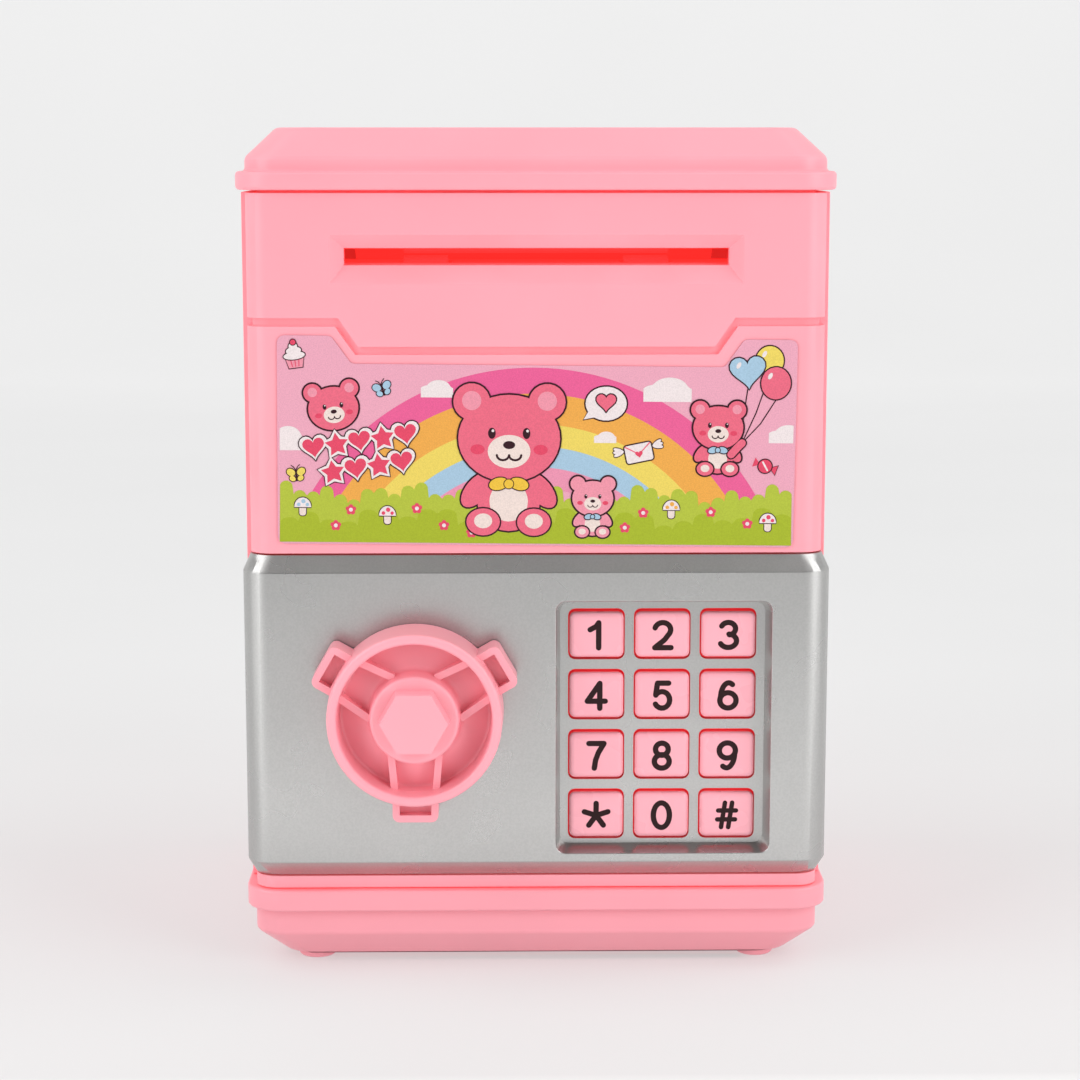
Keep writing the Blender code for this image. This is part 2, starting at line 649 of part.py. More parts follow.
def make_note_guides():
    """Plate above the note, and the curved sheet that turns it down into the chamber."""
    upper = part("note_guide_upper", block((-46.6, -42.2, 163.3), (46.6, -21.5, 164.7)), WHITE)
    cut(upper, block((-31.5, -38.2, 150), (31.5, -25.8, 170)), "roller_window")
    bm = bmesh.new()
    course = [Vector((-20.5, 165.5)), Vector((-6.0, 164.5)), Vector((7.0, 158.0)),
              Vector((11.0, 144.0)), Vector((11.0, 101.5))]
    rows = [[bm.verts.new((x * MM, y * MM, z * MM)) for x in (-43.0, 43.0)] for y, z in smooth_course(course)]
    for first, second in zip(rows, rows[1:]):
        bm.faces.new((first[0], first[1], second[1], second[0]))
    deflector = part("note_deflector", bm, WHITE)
    solid = deflector.modifiers.new("thickness", "SOLIDIFY")
    solid.thickness = 1.2 * MM
    solid.offset = 0.0


def smooth_course(points, steps=4):
    """Catmull-Rom points through a course."""
    padded = [points[0]] + points + [points[-1]]
    result = []
    for a, b, c, d in zip(padded, padded[1:], padded[2:], padded[3:]):
        for step in range(steps):
            t = step / steps
            result.append(0.5 * ((2 * b) + (c - a) * t + (2 * a - 5 * b + 4 * c - d) * t * t
                                 + (3 * b - a - 3 * c + d) * t ** 3))
    return result + [points[-1]]


def make_rollers():
    """Driven shaft with its two tyres, and the free roller above it."""
    y, z = FEED_AXIS
    part("feed_shaft", rod((-51, y, z), (56, y, z), 1.5, 16), STEEL, origin=(0, y, z))
    for side, tag in ((-1, "left"), (1, "right")):
        ring = [(FEED_RADIUS, 5.0), (FEED_RADIUS, -5.0), (1.6, -5.0), (1.6, 5.0)]
        turned(f"feed_tyre_{tag}", ring, RUBBER, (1, 0, 0), (25 * side, y, z), steps=28, closed=True)
    y, z = PINCH_AXIS
    profile = [(0, 49.8), (1.5, 49.8), (1.5, 30.0), (PINCH_RADIUS, 30.0), (PINCH_RADIUS, -30.0),
               (1.5, -30.0), (1.5, -49.8), (0, -49.8)]
    turned("pinch_roller", profile, WHITE, (1, 0, 0), (0, y, z), steps=24)


def make_drive():
    """Motor, its shaft and pinion, and the gear on the feed shaft."""
    y, z = FEED_AXIS
    gear = outline_plate([gear_outline(FEED_MODULE, FEED_TEETH, MOTOR_ANGLE), circle(1.6, 16)], 3.6,
                         facing("X", (52.2, y, z)))
    part("feed_gear", gear, WHITE, origin=(52.2, y, z))
    motor_y, motor_z = motor_axis()
    phase = MOTOR_ANGLE + math.pi + math.pi / MOTOR_TEETH
    pinion = outline_plate([gear_outline(FEED_MODULE, MOTOR_TEETH, phase), circle(1.1, 12)], 4.2,
                           facing("X", (52.4, motor_y, motor_z)))
    part("motor_pinion", pinion, BRASS, origin=(52.4, motor_y, motor_z))
    part("motor_shaft", rod((43, motor_y, motor_z), (55, motor_y, motor_z), 1.0, 12), STEEL,
         origin=(52.4, motor_y, motor_z))
    motor = part("feed_motor", rod((21.5, motor_y, motor_z), (46.7, motor_y, motor_z), 10.0, 28), STEEL)
    flats = both(block((10, motor_y - 20, motor_z + 7.5), (60, motor_y + 20, motor_z + 20)),
                 block((10, motor_y - 20, motor_z - 20), (60, motor_y + 20, motor_z - 7.5)))
    cut(motor, flats, "flats")
    add(motor, rod((46, motor_y, motor_z), (48.6, motor_y, motor_z), 3.0, 16), "bearing_boss")
    cut(motor, rod((42, motor_y, motor_z), (60, motor_y, motor_z), 1.0 + RUNNING, 12), "shaft_bore")


def make_coin_chute():
    """Square tube that leads coins from the lid past the feeder."""
    chute = part("coin_chute", block((-19, 13.2, 102), (19, 22.8, 176.5)), WHITE)
    cut(chute, block((-17.6, 14.6, 90), (17.6, 21.4, 190)), "passage")


def make_electronics():
    """Main board with its larger components, and the speaker behind the grille."""
    board = part("main_board", block((-52, 58.2, 112), (-4, 59.8, 150)), BOARD)
    for low, high, name in (((-44, 53.5, 126), (-30, 58.5, 140), "processor"),
                            ((-20, 50.5, 120), (-9, 58.5, 126), "connector"),
                            ((-24, 52.0, 134), (-14, 58.5, 144), "relay")):
        add(board, block(low, high), name)
    profile = [(0.0, 7.2), (8.0, 7.2), (9.0, 3.4), (17.0, 2.6),
               (17.5, 0.0), (15.5, 0.0), (13.0, 1.2), (0.0, 1.9)]
    turned("speaker", profile, BLACK, (0, -1, 0), (28, REAR_Y - WALL - 0.5, 132), steps=24)
    for side, tag in ((-1, "left"), (1, "right")):
        pan_screw(f"feed_screw_{tag}", (44.0 * side, -37.4, 150.5), (44.0 * side, -44.4, 150.5),
                  shank=1.0, head_radius=2.0, head_height=2.6)


# ---- Door --------------------------------------------------------------------------------------

def key_grid():
    """Centres of the keys, row by row from the top left, with their names."""
    places = []
    for index, name in enumerate(KEY_NAMES):
        column, row = index % 3 - 1, 1.5 - index // 3
        places.append((name, KEY_CENTRE[0] + column * KEY_PITCH[0], KEY_CENTRE[1] + row * KEY_PITCH[1]))
    return places


def door_form():
    """Solid outer form of the door: rounded in plan, tapering at its top and bottom."""
    body = block((-DOOR_HALF, DOOR_FRONT_Y, DOOR_LOW + DOOR_CHAMFER),
                 (DOOR_HALF, DOOR_BACK_Y, DOOR_HIGH - DOOR_CHAMFER), radius=6.0,
                 where=rounded_in_front, segments=5)
    round_hinge_edge(body)
    draw_in_x = (FRONT_HALF + 0.1) / DOOR_HALF
    draw_in_y = (FASCIA_Y - DOOR_BACK_Y) / (DOOR_FRONT_Y - DOOR_BACK_Y)
    about = (0, DOOR_BACK_Y, 0)
    draw_out(body, (0, 0, 1), DOOR_CHAMFER, (draw_in_x, draw_in_y, 1.0), about)
    return draw_out(body, (0, 0, -1), DOOR_CHAMFER, (draw_in_x, draw_in_y, 1.0), about)


def round_hinge_edge(bm):
    """Round the rear edge beside the hinge about the hinge axis, so that it clears the frame."""
    edges = []
    for edge in bm.edges:
        first, second = (vert.co / MM for vert in edge.verts)
        upright = abs(first.z - second.z) > 10
        if upright and first.x > DOOR_HALF - 0.1 and first.y > DOOR_BACK_Y - 0.1:
            edges.append(edge)
    bmesh.ops.bevel(bm, geom=edges, offset=(DOOR_BACK_Y - HINGE[1]) * MM, segments=5,
                    profile=0.5, affect="EDGES")


def tapered_pan(grow):
    """Keypad recess, wider at its mouth; grow makes the wall block that holds it."""
    x, z = PAD_CENTRE
    half_x, half_z = PAD_HALF[0] + grow, PAD_HALF[1] + grow
    mouth = DOOR_FRONT_Y - 1.0
    bm = block((x - half_x, mouth, z - half_z), (x + half_x, DOOR_FRONT_Y, z + half_z), radius=2.2, along="Y")
    scale = (1 - PAD_DRAFT / half_x, 1.0, 1 - PAD_DRAFT / half_z)
    return draw_out(bm, (0, 1, 0), PAD_DEPTH, scale, (x, 0, z))


def make_door_shell():
    """Silver door front with the keypad pan, the knob boss and the hinge bosses."""
    x, y = HINGE
    shell = part("door_shell", door_form(), SILVER, origin=(x, y, 0))
    low, high = DOOR_LOW + DOOR_CHAMFER, DOOR_HIGH - DOOR_CHAMFER
    inner_half = DOOR_HALF - WALL
    cut(shell, block((-inner_half, DOOR_FRONT_Y + WALL, low), (inner_half, DOOR_BACK_Y - WALL, high),
                     radius=4.3, where=lambda place: place.y < -41 or place.x > 0), "inside")
    cut(shell, block((-DOOR_HALF + WALL, DOOR_BACK_Y - WALL - 1.0, low), (57.0, -20, high)), "open_back")
    pad_x, pad_z = PAD_CENTRE
    floor_back = DOOR_FRONT_Y + PAD_DEPTH + PAD_FLOOR
    add(shell, block((pad_x - 26.2, DOOR_FRONT_Y + 1.2, pad_z - 30.8),
                     (pad_x + 26.2, floor_back, pad_z + 30.8)), "pan_walls")
    cut(shell, tapered_pan(0.0), "pan")
    half_x, half_z = (half + clearance for half, clearance in zip(KEY_HALF, KEY_HOLE_CLEARANCE))
    holes = [block((key_x - half_x, -60, key_z - half_z), (key_x + half_x, -30, key_z + half_z),
                   radius=KEY_HOLE_CORNER, along="Y", segments=4) for _, key_x, key_z in key_grid()]
    cut(shell, both(*holes), "key_holes")
    knob_x, knob_z = KNOB
    add(shell, rod((knob_x, DOOR_FRONT_Y + 1.2, knob_z), (knob_x, -40.0, knob_z), 6.5, 24), "knob_boss")
    cut(shell, rod((knob_x, -60, knob_z), (knob_x, -30, knob_z), 4.0 + RUNNING, 24), "knob_hole")
    for low, high, name in ((23.0, 31.0, "lower"), (84.5, 92.5, "upper")):
        boss = block((x - 3.6, y - 6.4, low), (64.8, y + 3.2, high), radius=5.0,
                     where=lambda place: place.x > 60 and place.y < -45)
        add(shell, boss, f"hinge_boss_{name}")
        near, far = (10.0, 28.0) if name == "lower" else (87.5, 110.0)
        cut(shell, rod((x, y, near), (x, y, far), HINGE_PIN_RADIUS + RUNNING, 20), f"pin_hole_{name}")
    for number, (post_x, post_z) in enumerate(door_screw_places(), 1):
        post = rod((post_x, DOOR_FRONT_Y + 1.2, post_z), (post_x, -38.9, post_z), 3.0, 14)
        add(shell, post, f"post_{number}")
        cut(shell, rod((post_x, -47.0, post_z), (post_x, -30.0, post_z), 1.1, 10), f"post_hole_{number}")
    return shell


def door_screw_places():
    """Places of the two screws that hold the inner panel."""
    return [(-44.0, 36.0), (-1.6, 80.0)]


def make_door_panel():
    """Inner panel with the lock case standing through the doorway."""
    x, y = HINGE
    plate = block((-63.4, -38.6, 24.6), (54.5, DOOR_BACK_Y, 90.8), radius=1.5, along="Y")
    panel = part("door_inner_panel", plate, PINK, origin=(x, y, 0))
    add(panel, block((-49.0, -37.5, 46.0), (-5.0, -26.4, 88.0), radius=1.5, along="Y"), "lock_case")
    cut(panel, block((-47.2, -50, 48.0), (-7.0, -28.0, 86.2)), "lock_hollow")
    bolt_low, bolt_high = bolt_levels()
    mouth = block((-60, BOLT_Y[0] - GAP, bolt_low - GAP), (-40, BOLT_Y[1] + GAP, bolt_high + GAP))
    cut(panel, mouth, "bolt_mouth")
    for number, (sx, sz) in enumerate(door_screw_places(), 1):
        cut(panel, rod((sx, -50, sz), (sx, -20, sz), 1.4, 10), f"screw_hole_{number}")
    return panel


def make_keypad():
    """Twelve keys on a silicone mat in front of the keypad board."""
    x, y = HINGE
    left, right, low, high = PAD_CENTRE[0] - 24.6, PAD_CENTRE[0] + 24.6, 26.2, 84.0
    part("key_membrane", block((left, -41.2, low), (right, -40.2, high), radius=1.5, along="Y"), SILICONE,
         origin=(x, y, 0))
    part("keypad_board", block((left, -39.9, low), (right, -38.9, high)), BOARD, origin=(x, y, 0))
    front = DOOR_FRONT_Y + PAD_DEPTH - KEY_PROUD
    for name, key_x, key_z in key_grid():
        half_x, half_z = KEY_HALF
        cap = block((key_x - half_x, front + 0.6, key_z - half_z), (key_x + half_x, -43.2, key_z + half_z),
                    radius=KEY_CORNER, along="Y", segments=4)
        shrink = (1 - 0.6 / half_x, 1.0, 1 - 0.6 / half_z)
        draw_out(cap, (0, -1, 0), 0.6, shrink, (key_x, 0, key_z))
        key = part(f"key_{name}", cap, KEY_PINK, origin=(key_x, front, key_z))
        skirt_x, skirt_z = half_x + KEY_SKIRT[0], half_z + KEY_SKIRT[1]
        skirt = block((key_x - skirt_x, -43.5, key_z - skirt_z), (key_x + skirt_x, -42.7, key_z + skirt_z))
        add(key, skirt, "skirt")


def make_hinge_pins():
    """Two steel pins, held in the front shell, on which the door turns."""
    x, y = HINGE
    for name, low, high in (("lower", SHELL_LOW + 0.7, 27.6), ("upper", 87.9, 100.7)):
        pin = rod((x, y, low), (x, y, high), HINGE_PIN_RADIUS, 20)
        part(f"hinge_pin_{name}", pin, STEEL, origin=(x, y, 0))


def make_door_screws():
    """Screws through the inner panel."""
    for number, (x, z) in enumerate(door_screw_places(), 1):
        pan_screw(f"door_screw_{number}", (x, -34.7, z), (x, -45.0, z), shank=1.0, head_radius=2.2)


# ---- Knob and lock -----------------------------------------------------------------------------

def make_knob():
    """Wheel knob with three hollow lugs, paired ribs, a hexagonal boss and its own shaft."""
    x, z = KNOB
    back = DOOR_FRONT_Y - KNOB_GAP
    front = [(0.0, 11.6), (9.2, 11.6), (10.1, 10.7), (10.3, 6.2), (17.0, 4.0), (17.3, 12.2), (17.6, KNOB_HEIGHT),
             (19.1, KNOB_HEIGHT), (KNOB_RIM, 12.2), (KNOB_RIM + 0.4, 0.0)]
    rear = [(18.1, 0.0), (17.7, 2.0), (10.0, 4.2), (6.4, 4.2), (6.2, 0.0), (4.0, 0.0), (4.0, -SHAFT_REACH),
            (1.25, -SHAFT_REACH), (1.25, -5.0), (0.0, -5.0)]
    profile = front + rear
    knob = turned("knob", profile, PINK, (0, -1, 0), (x, back, z), steps=KNOB_STEPS)
    for index in range(3):
        angle = math.radians(30 + 120 * index)
        add(knob, lug(angle), f"lug_{index + 1}")
        for side, tag in ((-1, "a"), (1, "b")):
            add(knob, rib(angle, side), f"rib_{index + 1}{tag}")
        cut(knob, lug_pocket(angle), f"lug_pocket_{index + 1}")
    add(knob, rod((x, back - 11.0, z), (x, back - 15.5, z), 8.2, 6, 7.6, turn=HEXAGON_TURN), "hexagon")
    return knob


def on_knob(bm, angle):
    """Move a shape modelled about the axis, pointing along +X, to its place on the knob."""
    x, z = KNOB
    place = Matrix.Translation(Vector((x, DOOR_FRONT_Y - KNOB_GAP, z)) * MM)
    bm.transform(place @ Matrix.Rotation(-angle, 4, "Y"))
    return bm


def lug(angle):
    return on_knob(block((17.0, -LUG_FRONT, -LUG_HALF), (LUG_TIP, -0.2, LUG_HALF), radius=1.6, along="Y",
                         where=lambda place: place.x > 20, segments=4), angle)


def lug_pocket(angle):
    """Open pocket in the face of a lug, reaching in to the rim."""
    half = LUG_HALF - LUG_WALL
    return on_knob(block((KNOB_RIM + 0.1, -20, -half), (LUG_TIP - LUG_WALL, -LUG_POCKET_FLOOR, half)), angle)


def rib(angle, side):
    """One of a pair of ribs from hub to rim, drawing closer together towards the rim."""
    bm = block((8.5, -8.0, -0.85), (18.2, -2.8, 0.85))
    bm.transform(Matrix.Translation((0, 0, side * 6.1 * MM)) @ Matrix.Rotation(side * 0.085, 4, "Y"))
    return on_knob(bm, angle)


def bolt_levels():
    """Bottom and top of the plain bar of the bolt."""
    pitch_line = KNOB[1] + PINION_MODULE * PINION_TEETH / 2
    return pitch_line + 1.1, pitch_line + 6.0


def make_lock():
    """Pinion on the knob shaft, rack bolt above it, and the solenoid that pins the bolt."""
    x, z = KNOB
    middle_y = sum(BOLT_Y) / 2
    teeth = gear_outline(PINION_MODULE, PINION_TEETH, math.pi / 2)
    pinion = outline_plate([teeth, circle(1.35, 12)], 4.2, facing("Y", (x, middle_y, z)))
    part("latch_pinion", pinion, WHITE, origin=(x, middle_y, z))
    pan_screw("knob_screw", (x, -28.4, z), (x, -44.0, z), shank=1.1, head_radius=2.4, head_height=0.9)
    low, high = bolt_levels()
    bar = block((-50.2, BOLT_Y[0], low), (-12.0, BOLT_Y[1], high), radius=1.0, along="Y",
                where=lambda place: place.x < -45, segments=2)
    bolt = part("latch_bolt", bar, WHITE, origin=(PLUNGER_X, middle_y, high))
    add(bolt, rack_teeth(low), "rack")
    notches = [block((PLUNGER_X + shift - 2.5, -40, high - 3.2), (PLUNGER_X + shift + 2.5, -20, high + 5))
               for shift in (0.0, BOLT_TRAVEL)]
    cut(bolt, both(*notches), "notches")
    make_solenoid(middle_y, high)


def rack_teeth(top):
    """Comb of trapezoid teeth under the bolt, with a gap straight above the pinion's top tooth."""
    pitch = math.pi * PINION_MODULE
    pitch_line = KNOB[1] + PINION_MODULE * PINION_TEETH / 2
    start = KNOB[0] - 3.5 * pitch
    outline = [(start - pitch / 2, top + 1.5), (start - pitch / 2, pitch_line + 1.6)]
    for index in range(8):
        middle = start + index * pitch
        outline += [(middle - 0.09 * pitch, pitch_line - 0.75), (middle + 0.09 * pitch, pitch_line - 0.75),
                    (middle + 0.50 * pitch, pitch_line + 1.6)]
    outline.append((start + 7.5 * pitch, top + 1.5))
    return outline_plate([outline], BOLT_Y[1] - BOLT_Y[0] - 0.4, facing("Y", (0, sum(BOLT_Y) / 2, 0)))


def make_solenoid(middle_y, bolt_top):
    """Solenoid above the bolt, and its plunger, drawn up at rest."""
    low = bolt_top + 2.6
    frame = block((PLUNGER_X - 6.5, middle_y - 3.4, low), (PLUNGER_X + 6.5, middle_y + 3.2, 85.6), radius=0.8)
    body = part("lock_solenoid", frame, STEEL)
    cut(body, rod((PLUNGER_X, middle_y, low - 2), (PLUNGER_X, middle_y, 84.0), 2.0 + RUNNING, 16), "bore")
    plunger = [(0.0, 83.0), (2.0, 83.0), (2.0, bolt_top + 1.0), (1.6, bolt_top + 0.5), (0.0, bolt_top + 0.5)]
    lowered = [(radius, height - bolt_top) for radius, height in plunger]
    turned("solenoid_plunger", lowered, STEEL, (0, 0, 1), (PLUNGER_X, middle_y, bolt_top), steps=16)


# ---- Assembly ----------------------------------------------------------------------------------

def on_door(obj):
    """Whether an object swings with the door."""
    prefixes = ("door_", "key_", "keypad_", "knob", "latch_", "lock_", "solenoid_")
    return obj.name.startswith(prefixes) and obj.type == "MESH"


def assemble():
    make_base_tray()
    make_base_fixings()
    make_chamber_floor()
    make_rear_shell()
    make_front_shell()
    make_label()
    make_lid()
    make_deck()
    make_feed_frame()
    make_note_guides()
    make_rollers()
    make_drive()
    make_coin_chute()
    make_electronics()
    make_door_shell()
    make_door_panel()
    make_keypad()
    make_hinge_pins()
    make_door_screws()
    make_knob()
    make_lock()
    hinge = pivot_at("door_hinge_axis", (*HINGE, 0))
    ride_on(hinge, [obj for obj in PARTS.objects if on_door(obj)])
    for obj in list(PARTS.objects) + list(CUTTERS.objects):
        if obj.parent is None:
            obj.location.z -= FLOOR * MM


assemble()
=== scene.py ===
"""Looks of the pink toy safe coin bank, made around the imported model.

The moulded shells, the door and the keys get rounded edges and their finishes, the label gets its
printed picture, the keys get their legends, and the knob is modelled again with softer forms.
Lengths are in millimetres unless a name says otherwise; MM turns them into Blender's metres.
"""
import json
import math

import bmesh
import bpy
from mathutils import Matrix, Vector


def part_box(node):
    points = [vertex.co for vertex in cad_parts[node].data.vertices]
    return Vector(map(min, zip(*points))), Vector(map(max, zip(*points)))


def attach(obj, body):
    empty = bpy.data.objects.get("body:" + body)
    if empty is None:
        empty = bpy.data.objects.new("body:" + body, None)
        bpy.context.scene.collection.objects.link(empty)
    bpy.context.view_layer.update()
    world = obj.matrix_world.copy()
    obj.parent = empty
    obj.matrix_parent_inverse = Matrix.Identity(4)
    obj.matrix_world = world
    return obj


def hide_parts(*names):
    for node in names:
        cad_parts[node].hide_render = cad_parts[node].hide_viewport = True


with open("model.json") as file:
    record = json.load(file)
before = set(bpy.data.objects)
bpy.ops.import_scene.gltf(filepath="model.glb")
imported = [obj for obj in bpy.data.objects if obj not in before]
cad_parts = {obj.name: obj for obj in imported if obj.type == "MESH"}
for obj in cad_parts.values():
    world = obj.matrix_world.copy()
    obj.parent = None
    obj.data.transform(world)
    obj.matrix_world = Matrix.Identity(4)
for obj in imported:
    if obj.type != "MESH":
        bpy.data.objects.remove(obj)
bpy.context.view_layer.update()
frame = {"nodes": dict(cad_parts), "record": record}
NODES = frame["nodes"]
BODIES = frame["record"]["behaviour"]["bodies"]
BODY_OF = {node: body for body, members in BODIES.items() for node in members}

MM = 0.001
WELD = 0.000002              # points closer than this, in metres, are one point
FLAT = math.radians(0.6)     # faces closer in angle than this are one flat face
BEVEL_ANGLE = math.radians(28)    # edges sharper than this are rounded


# ---- Colours and node helpers ----

def srgb(red, green, blue):
    """A colour given in the usual 0 to 255 values, as the linear values that Blender mixes."""
    def linear(value):
        share = value / 255
        return share / 12.92 if share <= 0.04045 else ((share + 0.055) / 1.055) ** 2.4
    return (linear(red), linear(green), linear(blue), 1.0)


def scaled(colour, factor):
    return (colour[0] * factor, colour[1] * factor, colour[2] * factor, 1.0)


class Finish:
    """A material under construction: a Principled shader and the nodes that pattern it."""

    def __init__(self, name, roughness=0.4, metallic=0.0, **sockets):
        self.material = bpy.data.materials.new(name)
        self.material.use_nodes = True
        self.tree = self.material.node_tree
        self.shader = self.tree.nodes["Principled BSDF"]
        self.shader.inputs["Roughness"].default_value = roughness
        self.shader.inputs["Metallic"].default_value = metallic
        for socket, value in sockets.items():
            self.shader.inputs[socket.replace("_", " ")].default_value = value
        self.place = self.add("ShaderNodeTexCoord").outputs["Object"]

    def add(self, kind, **settings):
        node = self.tree.nodes.new(kind)
        for key, value in settings.items():
            setattr(node, key, value)
        return node

    def link(self, output, target):
        self.tree.links.new(output, target)

    def noise(self, scale, detail=2.0, stretch=None):
        """Noise with features about 1 / scale metres across, stretched along the axes on request."""
        node = self.add("ShaderNodeTexNoise")
        node.inputs["Scale"].default_value = scale
        node.inputs["Detail"].default_value = detail
        source = self.place
        if stretch:
            mapping = self.add("ShaderNodeMapping")
            mapping.inputs["Scale"].default_value = stretch
            self.link(self.place, mapping.inputs["Vector"])
            source = mapping.outputs["Vector"]
        self.link(source, node.inputs["Vector"])
        return node.outputs["Fac"]

    def ramp(self, value, *stops):
        """A colour ramp through (position, colour) stops."""
        node = self.add("ShaderNodeValToRGB")
        elements = node.color_ramp.elements
        for index, (position, colour) in enumerate(stops):
            element = elements[index] if index < 2 else elements.new(position)
            element.position = position
            element.color = colour
        self.link(value, node.inputs["Fac"])
        return node.outputs["Color"]

    def spread(self, value, low, high):
        """The value's middle range mapped to low..high."""
        node = self.add("ShaderNodeMapRange")
        node.inputs["From Min"].default_value = 0.3
        node.inputs["From Max"].default_value = 0.7
        node.inputs["To Min"].default_value = low
        node.inputs["To Max"].default_value = high
        self.link(value, node.inputs["Value"])
        return node.outputs["Result"]

    def mixed(self, factor, first, second, kind="MIX"):
        node = self.add("ShaderNodeMix", data_type="RGBA", blend_type=kind)
        for socket, value in (("Factor", factor), ("A", first), ("B", second)):
            if isinstance(value, (int, float, tuple)):
                node.inputs[socket].default_value = value
            else:
                self.link(value, node.inputs[socket])
        return node.outputs["Result"]

    def worn(self, colour, edge_colour, start=0.53, end=0.62):
        """The colour, turning towards edge_colour where convex edges rub."""
        geometry = self.add("ShaderNodeNewGeometry")
        black, white = (0.0, 0.0, 0.0, 1.0), (1.0, 1.0, 1.0, 1.0)
        edge = self.ramp(geometry.outputs["Pointiness"], (start, black), (end, white))
        patchy = self.spread(self.noise(160), 0.35, 1.0)
        strength = self.add("ShaderNodeMath", operation="MULTIPLY")
        self.link(edge, strength.inputs[0])
        self.link(patchy, strength.inputs[1])
        return self.mixed(strength.outputs["Value"], colour, edge_colour)

    def grain(self, *layers):
        """Bump from (noise scale, strength, height in mm) layers."""
        normal = None
        for scale, strength, height in layers:
            bump = self.add("ShaderNodeBump")
            bump.inputs["Strength"].default_value = strength
            bump.inputs["Distance"].default_value = height * MM
            self.link(self.noise(scale, 3.0), bump.inputs["Height"])
            if normal:
                self.link(normal, bump.inputs["Normal"])
            normal = bump.outputs["Normal"]
        self.link(normal, self.shader.inputs["Normal"])

    def finish(self, colour, roughness=None):
        if isinstance(colour, tuple):
            self.shader.inputs["Base Color"].default_value = colour
        else:
            self.link(colour, self.shader.inputs["Base Color"])
        if roughness is not None:
            self.link(roughness, self.shader.inputs["Roughness"])
        return self.material


# ---- Materials ----

def moulded_plastic(name, colour, roughness=0.38, variation=0.03, grain=0.12):
    """Injection moulded plastic: faint flow clouds and a fine eggshell texture."""
    look = Finish(name, roughness, IOR=1.47)
    darker, paler = scaled(colour, 1 - variation), scaled(colour, 1 + variation / 2)
    clouds = look.ramp(look.noise(28), (0.3, darker), (0.7, paler))
    look.grain((5200, grain, 0.03), (700, grain * 0.35, 0.05))
    return look.finish(clouds, look.spread(look.noise(90), roughness - 0.05, roughness + 0.06))


def painted_glow_plastic(name, colour, glow, strength):
    """The inner side of the thin pink walls with a painted glow: an emission that stands in for the light
    that comes through them.
    """
    look = Finish(name, 0.6, IOR=1.47)
    clouds = look.ramp(look.noise(40), (0.3, scaled(colour, 0.92)), (0.7, scaled(colour, 1.04)))
    look.grain((5200, 0.1, 0.03))
    look.shader.inputs["Emission Color"].default_value = glow
    look.shader.inputs["Emission Strength"].default_value = strength
    return look.finish(clouds, look.spread(look.noise(90), 0.55, 0.68))


def silver_paint():
    """Sprayed silver over plastic: fine metal flake, slight cloudiness, a smooth satin skin."""
    look = Finish("silver_paint_sprayed", 0.28, 0.85, IOR=1.5)
    base = (0.47, 0.468, 0.46, 1.0)
    flake = look.ramp(look.noise(2400, 1.0), (0.35, scaled(base, 0.93)), (0.65, scaled(base, 1.07)))
    clouds = look.ramp(look.noise(22), (0.3, scaled(base, 0.96)), (0.7, scaled(base, 1.05)))
    blended = look.mixed(0.5, flake, clouds)
    look.grain((4200, 0.07, 0.02))
    return look.finish(blended, look.spread(look.noise(60), 0.26, 0.31))


def printed(name, colour, roughness=0.42):
    """Ink on a satin film, with the fine screen of a print in it."""
    look = Finish("ink_" + name, roughness, IOR=1.46, Specular_IOR_Level=0.3)
    screen = look.ramp(look.noise(3600, 1.0), (0.35, scaled(colour, 0.93)), (0.65, scaled(colour, 1.05)))
    look.grain((3000, 0.08, 0.01))
    return look.finish(screen, look.spread(look.noise(200), roughness - 0.04, roughness + 0.05))


def turned_metal(name, colour, roughness=0.3):
    """Machined or drawn metal with fine lines along its length."""
    look = Finish(name, roughness, 1.0)
    lines = look.noise(400, 3.0, (1.0, 1.0, 18.0))
    tint = look.ramp(lines, (0.3, scaled(colour, 0.82)), (0.7, scaled(colour, 1.08)))
    look.grain((2600, 0.15, 0.02))
    rubbed = look.worn(tint, scaled(colour, 1.25))
    return look.finish(rubbed, look.spread(lines, roughness - 0.07, roughness + 0.12))


def soft_rubber(name, colour, roughness=0.75):
    look = Finish(name, roughness)
    clouds = look.ramp(look.noise(120), (0.3, scaled(colour, 0.8)), (0.7, scaled(colour, 1.25)))
    look.grain((2400, 0.4, 0.05))
    return look.finish(clouds, look.spread(look.noise(300), roughness - 0.08, roughness + 0.08))


def circuit_board_green():
    """Solder mask with the faint weave of the laminate under it."""
    look = Finish("board_green", 0.35)
    weave = look.add("ShaderNodeTexBrick")
    weave.inputs["Scale"].default_value = 900
    weave.inputs["Color1"].default_value = (0.015, 0.16, 0.06, 1.0)
    weave.inputs["Color2"].default_value = (0.02, 0.20, 0.075, 1.0)
    weave.inputs["Mortar"].default_value = (0.01, 0.11, 0.045, 1.0)
    look.link(look.place, weave.inputs["Vector"])
    look.grain((1800, 0.15, 0.02))
    return look.finish(weave.outputs["Color"], look.spread(look.noise(250), 0.28, 0.45))


def battery_wrap():
    """Printed shrink sleeve with a band of another colour towards one end."""
    look = Finish("cell_wrap", 0.28, 0.25)
    parts = look.add("ShaderNodeSeparateXYZ")
    look.link(look.place, parts.inputs["Vector"])
    along = look.add("ShaderNodeMapRange")
    along.inputs["From Min"].default_value = -0.025
    along.inputs["From Max"].default_value = 0.025
    look.link(parts.outputs["X"], along.inputs["Value"])
    dark, gold = (0.03, 0.04, 0.10, 1.0), (0.55, 0.36, 0.10, 1.0)
    bands = look.ramp(along.outputs["Result"], (0.68, dark), (0.70, gold))
    speck = look.spread(look.noise(1500), 0.0, 0.12)
    look.grain((900, 0.12, 0.03))
    speckled = look.mixed(speck, bands, (0.3, 0.3, 0.35, 1.0))
    return look.finish(speckled, look.spread(look.noise(200), 0.22, 0.38))


